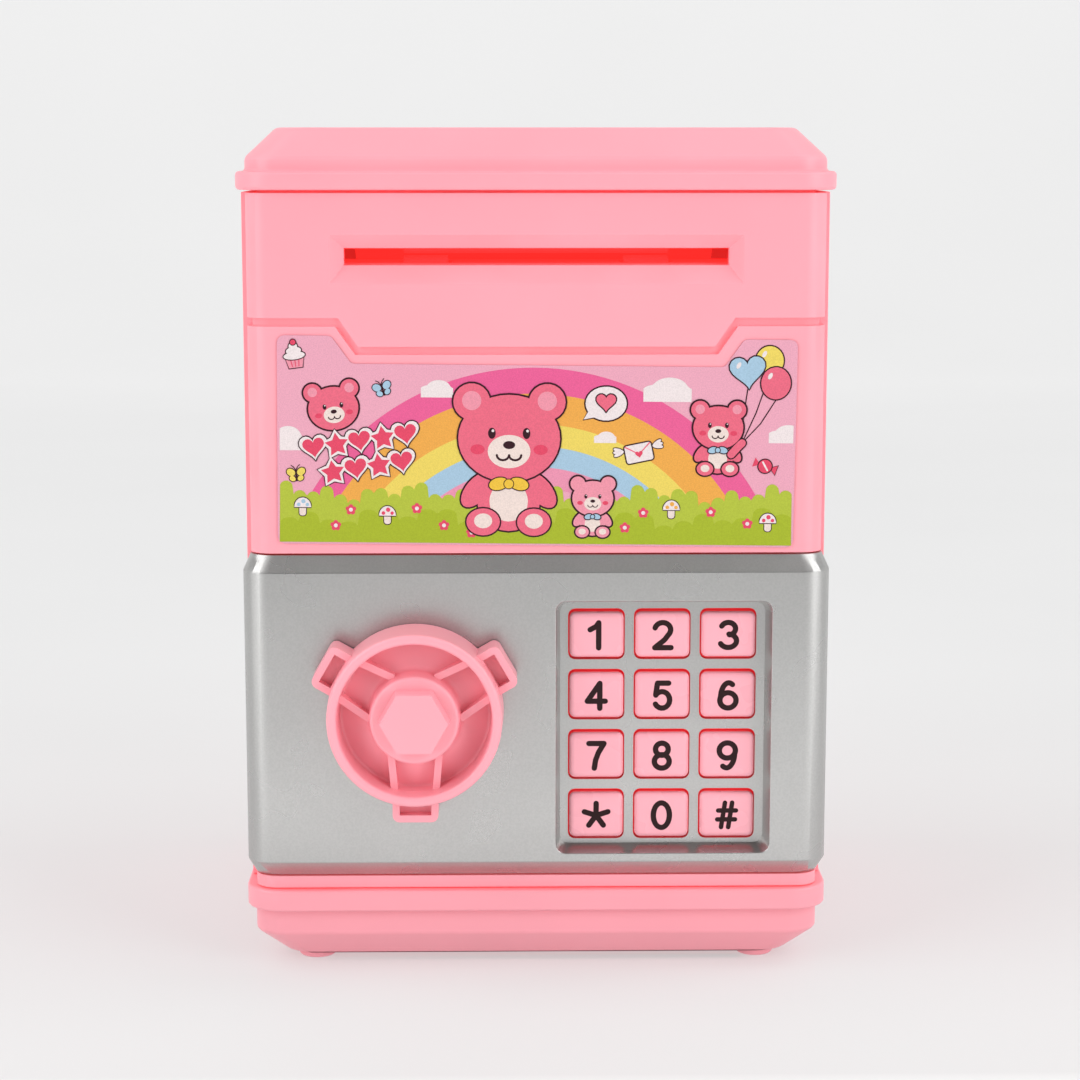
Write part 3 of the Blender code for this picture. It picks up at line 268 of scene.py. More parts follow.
BODY_PINK = srgb(249, 162, 174)
KNOB_PINK = srgb(251, 166, 178)
KEY_PINK = srgb(252, 174, 186)
# Painted light: a redder pink for hidden faces, standing in for the reddening by light that comes through
# the thin walls.
PAINTED_LIGHT_RED = srgb(246, 96, 104)

PINK = moulded_plastic("body_pink", BODY_PINK)
KNOB_FINISH = moulded_plastic("knob_pink", KNOB_PINK, roughness=0.34)
KEY_FINISH = moulded_plastic("key_pink_moulded", KEY_PINK, roughness=0.27, grain=0.05)
# Painted glow: the red that the inner faces, the note's path and the key gaps give off in place of the light
# coming through the pink walls.
PAINTED_GLOW_RED = srgb(240, 62, 56)
INSIDE_PAINTED_GLOW = painted_glow_plastic("inside_pink", BODY_PINK, PAINTED_GLOW_RED, 0.24)
THROAT_PAINTED_GLOW = painted_glow_plastic("throat_painted_red_glow", PAINTED_LIGHT_RED, PAINTED_GLOW_RED, 0.52)
KEY_GAP_PAINTED_GLOW = painted_glow_plastic("key_gap_red", PAINTED_LIGHT_RED, srgb(240, 30, 40), 0.42)
SILVER = silver_paint()
WHITE = moulded_plastic("white_moulded", (0.78, 0.78, 0.75, 1.0), roughness=0.5)
BLACK = moulded_plastic("black_moulded", (0.022, 0.022, 0.024, 1.0), roughness=0.5)
STEEL = turned_metal("bright_steel", (0.56, 0.56, 0.57, 1.0))
BRASS = turned_metal("turned_brass", (0.72, 0.50, 0.20, 1.0))
RUBBER = soft_rubber("tyre_rubber", (0.045, 0.045, 0.047, 1.0))
SILICONE = soft_rubber("dome_silicone", (0.62, 0.62, 0.60, 1.0), 0.6)
BOARD = circuit_board_green()
CELL = battery_wrap()

SLOT_FINISH = {"pink_plastic": PINK, "silver_paint": SILVER, "key_pink": KEY_FINISH, "white_plastic": WHITE,
               "black_plastic": BLACK, "steel": STEEL, "brass": BRASS, "rubber": RUBBER,
               "silicone": SILICONE, "circuit_board": BOARD, "battery_sleeve": CELL}


def slot_of(node):
    """The record's material slot that a node was given."""
    return NODES[node].material_slots[0].material.name.split(".")[0]


# ---- Mesh helpers ----

def new_piece(name, mesh, body, *materials):
    obj = bpy.data.objects.new(name, mesh)
    bpy.context.scene.collection.objects.link(obj)
    for material in materials:
        mesh.materials.append(material)
    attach(obj, body)
    return obj


def mesh_from(bm, name):
    bmesh.ops.recalc_face_normals(bm, faces=bm.faces)
    mesh = bpy.data.meshes.new(name)
    bm.to_mesh(mesh)
    bm.free()
    return mesh


def settle(obj):
    """Apply the object's modifiers."""
    graph = bpy.context.evaluated_depsgraph_get()
    mesh = bpy.data.meshes.new_from_object(obj.evaluated_get(graph))
    mesh.name = obj.name
    obj.modifiers.clear()
    obj.data = mesh


def round_edges(obj, width, segments=2, clamp=True):
    """Round the edges that carry a bevel weight."""
    bevel = obj.modifiers.new("rounded_edges", "BEVEL")
    bevel.width = width * MM
    bevel.segments = segments
    bevel.limit_method = "WEIGHT"
    bevel.use_clamp_overlap = clamp
    bevel.miter_outer = "MITER_ARC" if clamp else "MITER_SHARP"
    settle(obj)


FLAT_FACE_AREA = 300.0       # in square millimetres: a larger face keeps its own normal throughout
CREASE = math.cos(math.radians(42))


def blend_normals(mesh):
    """Smooth shading in which a corner's normal is the mean, weighted by area, of the faces that meet
    there, leaving out those that lean more than a crease from the corner's own face."""
    mesh.shade_smooth()
    around = [[] for _ in mesh.vertices]
    for polygon in mesh.polygons:
        for vertex in polygon.vertices:
            around[vertex].append((polygon.normal.copy(), polygon.area))
    corners = []
    for polygon in mesh.polygons:
        own = polygon.normal.copy()
        flat = polygon.area > FLAT_FACE_AREA * MM * MM
        for vertex in polygon.vertices:
            total = Vector()
            for normal, area in around[vertex]:
                if normal.dot(own) > CREASE:
                    total += normal * area
            corners.append(own if flat or total.length == 0.0 else total.normalized())
    mesh.normals_split_custom_set(corners)


def weigh_edges(bm, chosen=None):
    """Mark the sharp edges to round. If chosen is given, it picks them by their middle in mm."""
    weight = bm.edges.layers.float.new("bevel_weight_edge")
    for edge in bm.edges:
        middle = (edge.verts[0].co + edge.verts[1].co) / 2 / MM
        if edge.calc_face_angle(0.0) > BEVEL_ANGLE and (chosen is None or chosen(middle)):
            edge[weight] = 1.0


def whole_faces(node, weld):
    """The node's mesh with each flat region as one face and edges shorter than weld mm closed up."""
    bm = bmesh.new()
    bm.from_mesh(NODES[node].data)
    bmesh.ops.remove_doubles(bm, verts=bm.verts, dist=WELD)
    bmesh.ops.dissolve_limit(bm, angle_limit=FLAT, verts=bm.verts, edges=bm.edges)
    if weld:
        bmesh.ops.remove_doubles(bm, verts=bm.verts, dist=weld * MM)
    return bm


def refined(node, material, width, segments=2, inner=None, painted_glow_material=None, split_y=None, weld=0.0,
            clamp=True, chosen=None):
    """The node's shape as a visual piece with its sharp edges rounded and its own material.
    Faces for which inner(middle in mm) is true get the inner material; split_y parts the faces at
    that Y first. Weld, clamp and chosen go to whole_faces, round_edges and weigh_edges."""
    mesh = bpy.data.meshes.new(node + "_look")
    bm = whole_faces(node, weld)
    if split_y is not None:
        bmesh.ops.bisect_plane(bm, geom=bm.verts[:] + bm.edges[:] + bm.faces[:], dist=WELD,
                               plane_co=(0.0, split_y * MM, 0.0), plane_no=(0.0, 1.0, 0.0))
    if inner:
        for face in bm.faces:
            face.material_index = 1 if inner(face.calc_center_median() / MM) else 0
    weigh_edges(bm, chosen)
    bm.to_mesh(mesh)
    bm.free()
    spent = mesh.attributes.get("custom_normal")
    if spent:
        mesh.attributes.remove(spent)
    # The second material paints a red glow on the faces chosen by inner, in place of the light that comes
    # through the walls.
    materials = (material, painted_glow_material or INSIDE_PAINTED_GLOW) if inner else (material,)
    obj = new_piece(node + "_look", mesh, BODY_OF[node], *materials)
    round_edges(obj, width, segments, clamp)
    blend_normals(obj.data)
    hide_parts(node)
    return obj


# ---- Shells ----

def millimetres(node):
    """The node's lowest and highest corners in millimetres."""
    return tuple(Vector(corner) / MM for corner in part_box(node))


def make_shells():
    front_low, front_high = millimetres("front_shell")
    rear_high = millimetres("rear_shell")[1]
    # The inner faces of the lid and the shells get the painted red glow that stands in for light through the
    # walls.
    refined("lid", PINK, 0.8, 3, lambda place: place.z < front_high.z + 0.3, clamp=False)
    refined("front_shell", PINK, 0.35, 2,
            lambda place: place.y > front_low.y + 0.6 and abs(place.x) < front_high.x - 0.3, weld=0.35)
    refined("rear_shell", PINK, 0.5, 3,
            lambda place: place.y < rear_high.y - 0.3 and abs(place.x) < rear_high.x - 0.3, weld=0.25)
    refined("base_tray", PINK, 0.6, 3, lambda place: place.z > front_low.z - 0.5, clamp=False)
    door_front = millimetres("door_shell")[0].y
    refined("door_shell", SILVER, 0.4, 3, chosen=lambda place: place.y < door_front + 0.7)
    refined("battery_cover", PINK, 0.25, 2)


# ---- Knob ----

# Shapes are in millimetres from the middle of the knob's back: out from the axis, and ahead of the back.

KNOB_GAP = 0.5               # from the door's face to the knob's back
KNOB_STEPS = 72
RIM_ROUNDING = 0.9
KNOB_PROFILE = ((0.0, 11.6), (9.9, 11.6), (10.4, 5.9), (17.0, 4.0), (17.3, 12.6), (19.5, 12.6), (19.9, 0.0),
                (18.1, 0.0), (17.7, 2.0), (10.0, 4.2), (6.4, 4.2), (6.2, 0.0), (4.0, 0.0), (4.0, -17.3),
                (1.25, -17.3), (1.25, -5.0), (0.0, -5.0))
LUG_REACH, LUG_HALF, LUG_WALL, LUG_CORNER = (17.0, 24.1), 5.15, 1.6, 1.6
LUG_HEIGHT, LUG_FOOT, POCKET_FLOOR, POCKET_START = 8.2, 0.2, 5.2, 19.6
LUG_ROUNDING = 0.4
RIB_START, RIB_END, RIB_HALF = 8.5, 18.2, 0.8
RIB_HEIGHT, RIB_FOOT = 8.0, 2.8
RIB_OFFSET, RIB_LEAN = 6.1, 0.085          # of each rib of a pair, from the line to the lug
RIB_ROUNDING = 0.45
HEXAGON_FACE, HEXAGON_ROOT = 7.6, 8.2      # radius to the corners, at its face and where it meets the hub
HEXAGON_HEIGHT, HEXAGON_FOOT = 15.5, 11.0
HEXAGON_ROUNDING = 0.5


def forwards(across, ahead, up):
    """A point in mm as Blender's metres."""
    return (across * MM, -ahead * MM, up * MM)


def softened(profile, cut_back, steps=4):
    """The open run of points with its corners turned into short curves."""
    points = [profile[0]]
    for before, corner, after in zip(profile, profile[1:], profile[2:]):
        middle = Vector(corner)
        sides = [Vector(end) - middle for end in (before, after)]
        start, end = (middle + side.normalized() * min(cut_back, side.length * 0.45) for side in sides)
        for step in range(steps + 1):
            t = step / steps
            place = start * (1 - t) ** 2 + middle * 2 * t * (1 - t) + end * t ** 2
            points.append((place.x, place.y))
    return points + [profile[-1]]


def revolved(profile, steps):
    """Closed body turned about Y from (radius, distance forwards) points that begin and end on the axis."""
    bm = bmesh.new()
    rings = []
    for radius, ahead in profile:
        angles = [2 * math.pi * step / steps for step in range(steps if radius else 1)]
        rings.append([bm.verts.new(forwards(radius * math.cos(angle), ahead, radius * math.sin(angle)))
                      for angle in angles])
    for first, second in zip(rings, rings[1:]):
        for step in range(steps):
            after = (step + 1) % steps
            corners = [ring[place % len(ring)] for ring, place in
                       ((first, step), (first, after), (second, after), (second, step))]
            bm.faces.new(list(dict.fromkeys(corners)))
    return bm


def prism(outline, ahead, behind, back_size=1.0):
    """Closed block with the outline (across, up) from one distance forwards back to another."""
    bm = bmesh.new()
    rows = [[bm.verts.new(forwards(a * size, distance, b * size)) for a, b in outline]
            for distance, size in ((ahead, 1.0), (behind, back_size))]
    bm.faces.new(rows[0])
    bm.faces.new(rows[1][::-1])
    for index in range(len(outline)):
        after = (index + 1) % len(outline)
        bm.faces.new((rows[0][after], rows[0][index], rows[1][index], rows[1][after]))
    return bm


def scratch(bm, rounding=0.0):
    """A loose object from the mesh, with its sharp edges rounded on request."""
    weigh_edges(bm)
    obj = bpy.data.objects.new("scratch", mesh_from(bm, "scratch"))
    bpy.context.scene.collection.objects.link(obj)
    if rounding:
        round_edges(obj, rounding, 3)
    return obj


def combine(target, tool, operation):
    """Join the tool to the target, or cut it out, and drop the tool."""
    step = target.modifiers.new("combined", "BOOLEAN")
    step.operation, step.solver, step.object = operation, "EXACT", tool
    settle(target)
    bpy.data.objects.remove(tool)
    return target


def knob_lug(turn):
    """Hollow lug, open to the front, that points along +X before the turn."""
    inner, outer = LUG_REACH
    middle, side = outer - LUG_CORNER, LUG_HALF - LUG_CORNER
    outline = [(inner, -LUG_HALF), (inner, LUG_HALF)]
    outline += bend(middle, side, LUG_CORNER, LUG_CORNER, 90, 0, 5)
    outline += bend(middle, -side, LUG_CORNER, LUG_CORNER, 0, -90, 5)
    half, end = LUG_HALF - LUG_WALL, outer - LUG_WALL
    pocket = [(POCKET_START, -half), (POCKET_START, half), (end, half), (end, -half)]
    lug = scratch(prism(outline[::-1], LUG_HEIGHT, LUG_FOOT))
    combine(lug, scratch(prism(pocket[::-1], 20.0, POCKET_FLOOR)), "DIFFERENCE")
    bm = bmesh.new()
    bm.from_mesh(lug.data)
    bpy.data.objects.remove(lug)
    bm.transform(turn)
    return bm


def knob_rib(turn, side):
    """One of a pair of ribs from the hub to the rim, drawing closer on the way to the lug."""
    rib = prism([(RIB_START, RIB_HALF), (RIB_END, RIB_HALF), (RIB_END, -RIB_HALF), (RIB_START, -RIB_HALF)],
                RIB_HEIGHT, RIB_FOOT)
    lean = Matrix.Translation((0, 0, side * RIB_OFFSET * MM)) @ Matrix.Rotation(side * RIB_LEAN, 4, "Y")
    rib.transform(turn @ lean)
    return rib


def make_knob():
    """Dished wheel with three hollow lugs, paired ribs and a hexagonal boss, every edge softened."""
    low, high = millimetres("latch_pinion")
    middle = (low + high) / 2
    back = millimetres("door_shell")[0].y - KNOB_GAP
    knob = scratch(revolved(softened(KNOB_PROFILE, RIM_ROUNDING), KNOB_STEPS))
    for index in range(3):
        turn = Matrix.Rotation(-math.radians(30 + 120 * index), 4, "Y")
        combine(knob, scratch(knob_lug(turn), LUG_ROUNDING), "UNION")
        for side in (-1, 1):
            combine(knob, scratch(knob_rib(turn, side), RIB_ROUNDING), "UNION")
    hexagon = prism(ellipse(0, 0, HEXAGON_FACE, count=6), HEXAGON_HEIGHT, HEXAGON_FOOT,
                    HEXAGON_ROOT / HEXAGON_FACE)
    combine(knob, scratch(hexagon, HEXAGON_ROUNDING), "UNION")
    mesh = knob.data
    bpy.data.objects.remove(knob)
    mesh.name = "knob_look"
    mesh.transform(Matrix.Translation(Vector((middle.x, back, middle.z)) * MM))
    obj = new_piece("knob_look", mesh, BODY_OF["knob"], KNOB_FINISH)
    blend_normals(mesh)
    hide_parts("knob")


# ---- Keys ----

KEY_PROUD = 1.9              # how far a key's face stands ahead of the pan


def make_keys():
    """The keys, with the part of each that sits in its hole painted a darker red with a glow, standing in
    for the shade and the light through the plastic in the gap round it.
    """
    for node in NODES:
        if node.startswith("key_") and node != "key_membrane":
            pan = millimetres(node)[0].y + KEY_PROUD
            refined(node, KEY_FINISH, 0.6, 3, lambda place: place.y > pan, KEY_GAP_PAINTED_GLOW, pan, clamp=False)


# ---- Flat outlines ----
# Each returns the points (across, up) of a closed outline, or works on one.

def ellipse(u, w, half_u, half_w=None, turn=0.0, count=26):
    half_w = half_u if half_w is None else half_w
    cosine, sine = math.cos(turn), math.sin(turn)
    points = []
    for step in range(count):
        angle = 2 * math.pi * step / count
        a, b = half_u * math.cos(angle), half_w * math.sin(angle)
        points.append((u + a * cosine - b * sine, w + a * sine + b * cosine))
    return points


def bend(u, w, half_u, half_w, start, end, count=12):
    """Open run of points along an elliptical arc, with its angles in degrees."""
    angles = [math.radians(start + (end - start) * step / count) for step in range(count + 1)]
    return [(u + half_u * math.cos(angle), w + half_w * math.sin(angle)) for angle in angles]


def heart(u, w, width, turn=0.0, count=30):
    points = []
    for step in range(count):
        t = 2 * math.pi * step / count
        a = 16 * math.sin(t) ** 3
        b = 13 * math.cos(t) - 5 * math.cos(2 * t) - 2 * math.cos(3 * t) - math.cos(4 * t) + 2.5
        points.append((-a * width / 32, b * width / 32))
    return placed(points, u, w, 1.0, turn)


def star(u, w, radius, turn=0.0, arms=5, waist=0.52):
    points = []
    for step in range(arms * 2):
        reach = radius if step % 2 == 0 else radius * waist
        angle = math.pi / 2 + math.pi * step / arms
        points.append((reach * math.cos(angle), reach * math.sin(angle)))
    return placed(points, u, w, 1.0, turn)


def rounded_box(u, w, width, height, radius, turn=0.0):
    points = []
    for corner, (side_u, side_w) in enumerate(((1, 1), (-1, 1), (-1, -1), (1, -1))):
        centre_u, centre_w = side_u * (width / 2 - radius), side_w * (height / 2 - radius)
        points += bend(centre_u, centre_w, radius, radius, corner * 90, corner * 90 + 90, 4)
    return placed(points, u, w, 1.0, turn)


def placed(points, u, w, size=1.0, turn=0.0):
    cosine, sine = math.cos(turn) * size, math.sin(turn) * size
    return [(u + a * cosine - b * sine, w + a * sine + b * cosine) for a, b in points]


def grown(points, by):
    """The outline moved outwards by a small distance."""
    moved = []
    for index, (a, b) in enumerate(points):
        before, after = points[index - 1], points[(index + 1) % len(points)]
        along_u, along_w = after[0] - before[0], after[1] - before[1]
        length = math.hypot(along_u, along_w) or 1.0
        moved.append((a + along_w / length * by, b - along_u / length * by))
    return moved


def stroke(points, width, cap_steps=6):
    """Outline of a line of even width with round ends."""
    half = width / 2
    left, right, turns = [], [], []
    for index, (a, b) in enumerate(points):
        before, after = points[max(index - 1, 0)], points[min(index + 1, len(points) - 1)]
        angle = math.atan2(after[1] - before[1], after[0] - before[0])
        turns.append(angle)
        left.append((a - half * math.sin(angle), b + half * math.cos(angle)))
        right.append((a + half * math.sin(angle), b - half * math.cos(angle)))
    first, last = math.degrees(turns[0]), math.degrees(turns[-1])
    end = bend(*points[-1], half, half, last - 90, last + 90, cap_steps)
    start = bend(*points[0], half, half, first + 90, first + 270, cap_steps)
    return right[:-1] + end + left[-2:0:-1] + start


class Print:
    """Thin closed patches of ink on a flat face, in layers that stand a hair in front of each other."""

    LAYER = 0.012
    STAGGER = 0.0014         # lifts each patch of a round a little more than the one before,
    ROUND = 8                # so that patches in one layer don't coincide

    def __init__(self, inks):
        self.bm = bmesh.new()
        self.inks = inks
        self.names = list(inks)
        self.count = 0

    def patch(self, ink, layer, outline):
        self.count += 1
        front = -(self.LAYER * layer + self.STAGGER * (self.count % self.ROUND)) * MM
        face = self.bm.faces.new([self.bm.verts.new((a * MM, front, b * MM)) for a, b in outline])
        self.close(face, ink)

    def ring(self, ink, layer, outer, inner):
        """A band between two closed outlines with the same number of points."""
        front = -self.LAYER * layer * MM
        rows = []
        for outline in (outer, inner):
            rows.append([[self.bm.verts.new((a * MM, y, b * MM)) for y in (front, 0.0)] for a, b in outline])
        count = len(outer)
        for index in range(count):
            after = (index + 1) % count
            (a, a_back), (b, b_back) = rows[0][index], rows[0][after]
            (c, c_back), (d, d_back) = rows[1][after], rows[1][index]
            for corners in ((a, b, c, d), (d_back, c_back, b_back, a_back),
                            (b, a, a_back, b_back), (d, c, c_back, d_back)):
                self.bm.faces.new(corners).material_index = self.names.index(ink)

    def close(self, face, ink):
        """Give a front face its sides and back, down to the surface it is printed on."""
        face.material_index = self.names.index(ink)
        back = [self.bm.verts.new((vert.co.x, 0.0, vert.co.z)) for vert in face.verts]
        verts = list(face.verts)
        self.bm.faces.new(list(reversed(back))).material_index = face.material_index
        for index, vert in enumerate(verts):
            after = (index + 1) % len(verts)
            side = self.bm.faces.new((verts[after], vert, back[index], back[after]))
            side.material_index = face.material_index

    def outlined(self, ink, layer, outline, line=0.35):
        """A patch with a dark line round it."""
        self.patch("line", layer, grown(outline, line))
        self.patch(ink, layer + 1, outline)

    def piece(self, name, body, place):
        """The print as one object, its plane moved to the place."""
        self.bm.transform(place)
        mesh = mesh_from(self.bm, name)
        obj = new_piece(name, mesh, body, *self.inks.values())
        return obj


# ---- Label picture ----
# Places on the label are (across, up) from its middle.

LABEL_TILT = math.radians(0.6)
LABEL_HALF = 58.0
LABEL_FOOT = -23.4
RAINBOW_CENTRE = (-0.5, -41.3)
RAINBOW_RADII = (58.0, 52.2, 45.4, 40.4, 35.7, 31.0)
RAINBOW_INKS = ("magenta", "orange", "yellow", "blue", "pale_pink")

INKS = {
    "sky": srgb(238, 170, 190), "magenta": srgb(236, 98, 152), "orange": srgb(240, 172, 78),
    "yellow": srgb(238, 214, 100), "blue": srgb(168, 200, 222), "pale_pink": srgb(236, 150, 178),
    "grass": srgb(182, 196, 64), "meadow": srgb(170, 186, 44), "white": srgb(240, 228, 228),
    "line": srgb(52, 16, 28), "rose": srgb(236, 108, 132), "cream": srgb(240, 222, 214),
    "red": srgb(230, 74, 104), "candy": srgb(240, 152, 170), "sun": srgb(240, 196, 66),
}


INK_DEPTH = 0.86              # how much of its light a printed colour gives back under the film


def make_inks():
    return {name: printed(name, scaled(colour, INK_DEPTH)) for name, colour in INKS.items()}


def cloud(art, u, w, width, height):
    """Flat-bottomed cloud with three rounded tops, cut off at the sides of the label."""
    tops = ((-0.28, 0.24, 0.36), (0.05, 0.42, 0.50), (0.34, 0.20, 0.32))
    points = []
    edge = LABEL_HALF - 0.5
    steps = 22
    for step in range(steps + 1):
        across = -0.5 + step / steps
        rise = 0.0
        for middle, lift, radius in tops:
            inside = (radius * 0.75) ** 2 - (across - middle) ** 2
            if inside > 0:
                rise = max(rise, lift + math.sqrt(inside) * 1.3)
        points.append((min(max(u + across * width, -edge), edge), w + (rise - 0.5) * height))
    points.reverse()
    foot = w - height * 0.62
    art.patch("white", 3, points + [(points[-1][0], foot), (points[0][0], foot)])


def rainbow(art):
    u, w = RAINBOW_CENTRE
    foot = -16.0
    for outer, inner, ink in zip(RAINBOW_RADII, RAINBOW_RADII[1:], RAINBOW_INKS):
        start_out, start_in = (math.degrees(math.asin((foot - w) / radius)) if radius > foot - w else 90.0
                               for radius in (outer, inner))
        outside = bend(u, w, outer, outer, start_out, 180 - start_out, 48)
        inside = bend(u, w, inner, inner, 180 - start_in, start_in, 48)
        art.patch(ink, 2, outside + inside)


def grass(art, ink, layer, foot, height, tuft):
    """Strip across the label whose top edge is a row of rounded tufts of varying height."""
    edge = LABEL_HALF - 0.4
    points = [(-edge, foot), (edge, foot)]
    count = round(2 * edge / tuft)
    for index in range(count):
        middle = edge - (index + 0.5) * 2 * edge / count
        tall = height + 1.3 * math.sin(index * 1.9) + 0.9 * math.sin(index * 0.7 + 1.0)
        points += bend(middle, tall, edge / count * 0.96, 1.4, 20, 160, 5)
    art.patch(ink, layer, points)


def flower(art, u, w):
    for petal in range(5):
        angle = math.radians(90 + petal * 72)
        art.patch("red", 6, ellipse(u + 0.72 * math.cos(angle), w + 0.72 * math.sin(angle), 0.52, count=12))
    art.patch("white", 7, ellipse(u, w, 0.45, count=12))


def mushroom(art, u, w, cap):
    art.outlined("cream", 6, rounded_box(u, w - 1.0, 1.5, 2.4, 0.6), 0.2)
    dome = bend(u, w - 0.3, 1.9, 2.2, 0, 180, 12)
    art.outlined("white", 8, dome, 0.2)
    for spot_u, spot_w, radius in ((-0.9, 0.3, 0.42), (0.15, 1.05, 0.5), (1.05, 0.3, 0.4)):
        art.patch(cap, 10, ellipse(u + spot_u, w + spot_w, radius, count=12))


def butterfly(art, u, w, ink, turn):
    for side in (-1, 1):
        for lift, reach, half in ((0.75, 1.15, 1.0), (-0.7, 0.9, 0.72)):
            spot = placed([(side * reach, lift)], u, w, 1.0, turn)[0]
            art.outlined(ink, 5, ellipse(*spot, half, half * 0.8, turn + side * 0.6, 14), 0.2)
    body = placed([(0, 1.2), (0, 0), (0, -1.2)], u, w, 1.0, turn)
    art.patch("line", 7, stroke(body, 0.42))
    for side in (-1, 1):
        feeler = placed([(0, 1.1), (side * 0.45, 1.9), (side * 0.95, 2.3)], u, w, 1.0, turn)
        art.patch("line", 7, stroke(feeler, 0.18, 4))


def bear_head(art, u, w, size, turn, layer, fur="rose", line=0.4):
    """Round-eared toy bear's head, size being its half width."""
    def spot(a, b, half_a, half_b=None, count=22):
        place = placed([(a, b)], u, w, size, turn)[0]
        return ellipse(*place, half_a * size, (half_b or half_a) * size, turn, count)
    shapes = [spot(-0.74, 0.72, 0.36), spot(0.74, 0.72, 0.36), spot(0, 0, 1.0, 0.86, 36)]
    for shape in shapes:
        art.patch("line", layer, grown(shape, line))
    for shape in shapes:
        art.patch(fur, layer + 1, shape)
    for side in (-1, 1):
        art.patch("candy", layer + 2, spot(side * 0.74, 0.74, 0.19))
        art.patch("red", layer + 2, spot(side * 0.62, -0.22, 0.14, 0.10))
        art.patch("line", layer + 4, spot(side * 0.34, 0.10, 0.075, 0.11, 16))
        art.patch("white", layer + 5, spot(side * 0.34 + 0.02, 0.15, 0.028, None, 10))
    art.patch("cream", layer + 3, spot(0, -0.26, 0.42, 0.33, 28))
    art.patch("line", layer + 4, spot(0, -0.13, 0.12, 0.08, 16))
    for side in (-1, 1):
        smile = placed(bend(side * 0.12, -0.33, 0.12, 0.10, 180, 360, 8), u, w, size, turn)
        art.patch("line", layer + 4, stroke(smile, max(0.045 * size, 0.16), 4))


def seated_bear(art, u, w, size, layer, fur="rose", scarf="sun"):
    """Toy bear that sits facing forwards; (u, w) is the middle of its head."""
    def spot(a, b, half_a, half_b, turn=0.0, count=24):
        return ellipse(u + a * size, w + b * size, half_a * size, half_b * size, turn, count)
    trunk = [spot(0, -1.22, 0.62, 0.62)]
    trunk += [spot(side * 0.62, -1.02, 0.22, 0.42, side * 0.7) for side in (-1, 1)]
    feet = [spot(-0.50, -1.66, 0.33, 0.27), spot(0.50, -1.66, 0.33, 0.27)]
    for shape in trunk:
        art.patch("line", layer, grown(shape, 0.4))
    for shape in trunk:
        art.patch(fur, layer + 1, shape)
    art.patch("cream", layer + 2, spot(0, -1.25, 0.38, 0.40))
    for side, foot in zip((-1, 1), feet):
        art.outlined(fur, layer + 3, foot, 0.35)
        art.patch("cream", layer + 5, spot(side * 0.50, -1.64, 0.18, 0.15, 0.0, 16))
    bear_head(art, u, w, size, 0.0, layer + 6, fur)
    for side in (-1, 1):
        loop = spot(side * 0.20, -0.90, 0.19, 0.12, side * -0.25, 18)
        art.outlined(scarf, layer + 9, loop, 0.25)
    art.outlined(scarf, layer + 11, spot(0, -0.90, 0.09, 0.09, 0.0, 14), 0.2)


def balloons(art, hand):
    strings = (((47.0, 12.2), (46.2, 6.0)), ((51.8, 15.4), (49.0, 7.0)), ((53.3, 9.8), (50.0, 4.5)))
    for top, bow in strings:
        art.patch("line", 4, stroke([top, bow, hand], 0.25, 4))
    art.outlined("yellow", 5, ellipse(51.8, 18.7, 3.1, 3.3), 0.3)
    art.outlined("rose", 7, ellipse(53.3, 13.7, 3.3, 3.6), 0.3)
    art.outlined("blue", 7, heart(47.0, 15.9, 8.0, 0.1), 0.3)
    for u, w in ((50.6, 20.2), (52.0, 15.3), (44.9, 17.6)):
        art.patch("white", 9, ellipse(u, w, 0.45, 0.8, -0.5, 12))


def speech_bubble(art, u, w):
    tail = [(u - 3.6, w - 1.2), (u - 5.0, w - 3.6), (u - 1.6, w - 2.9)]
    for shape in (tail, ellipse(u, w, 4.6, 3.8)):
        art.patch("line", 5, grown(shape, 0.35))
    for shape in (tail, ellipse(u, w, 4.6, 3.8)):
        art.patch("white", 6, shape)
    art.outlined("rose", 7, heart(u, w + 0.1, 4.4), 0.3)


def envelope(art, u, w, turn):
    def local(points):
        return placed(points, u, w, 1.0, turn)
    for side in (-1, 1):
        for feather in range(3):
            angle = math.radians(28 - feather * 22)
            middle = (side * (3.4 + 1.1 * math.cos(angle)), 0.9 + 1.1 * math.sin(angle))
            place = local([middle])[0]
            art.outlined("white", 5, ellipse(*place, 1.2, 0.42, turn + side * angle, 14), 0.2)
    art.outlined("white", 7, rounded_box(u, w, 6.0, 4.0, 0.5, turn), 0.3)
    art.patch("rose", 9, stroke(local([(-2.8, 1.8), (0, -0.3), (2.8, 1.8)]), 0.3, 4))
    place = local([(0, -0.4)])[0]
    art.patch("red", 10, heart(*place, 1.7, turn))


def sweet(art, u, w, turn):
    for side in (-1, 1):
        wing = placed([(side * 1.2, 0.0), (side * 2.7, 1.1), (side * 2.7, -1.1)], u, w, 1.0, turn)
        art.patch("line", 5, grown(wing[::-1], 0.25))
        art.patch("red", 6, wing)
    art.outlined("red", 7, ellipse(u, w, 1.5), 0.25)
    art.patch("white", 9, stroke(placed([(-0.8, 0.7), (0.0, 0.0), (0.8, -0.7)], u, w, 1.0, turn), 0.4, 4))


def cupcake(art, u, w, turn):
    def local(points):
        return placed(points, u, w, 1.0, turn)
    art.outlined("candy", 5, local([(-1.5, -3.0), (1.5, -3.0), (2.1, -0.6), (-2.1, -0.6)]), 0.25)
    for rib in (-0.8, 0.0, 0.8):
        art.patch("red", 7, stroke(local([(rib * 0.9, -2.7), (rib * 1.2, -0.9)]), 0.2, 4))
    for level, half in ((-0.3, 2.4), (0.8, 1.7), (1.8, 0.95)):
        place = local([(0.0, level)])[0]
        art.outlined("white", 8, ellipse(*place, half, 0.85, turn, 20), 0.22)
    place = local([(0.1, 2.7)])[0]
    art.outlined("red", 10, ellipse(*place, 0.6, count=14), 0.2)


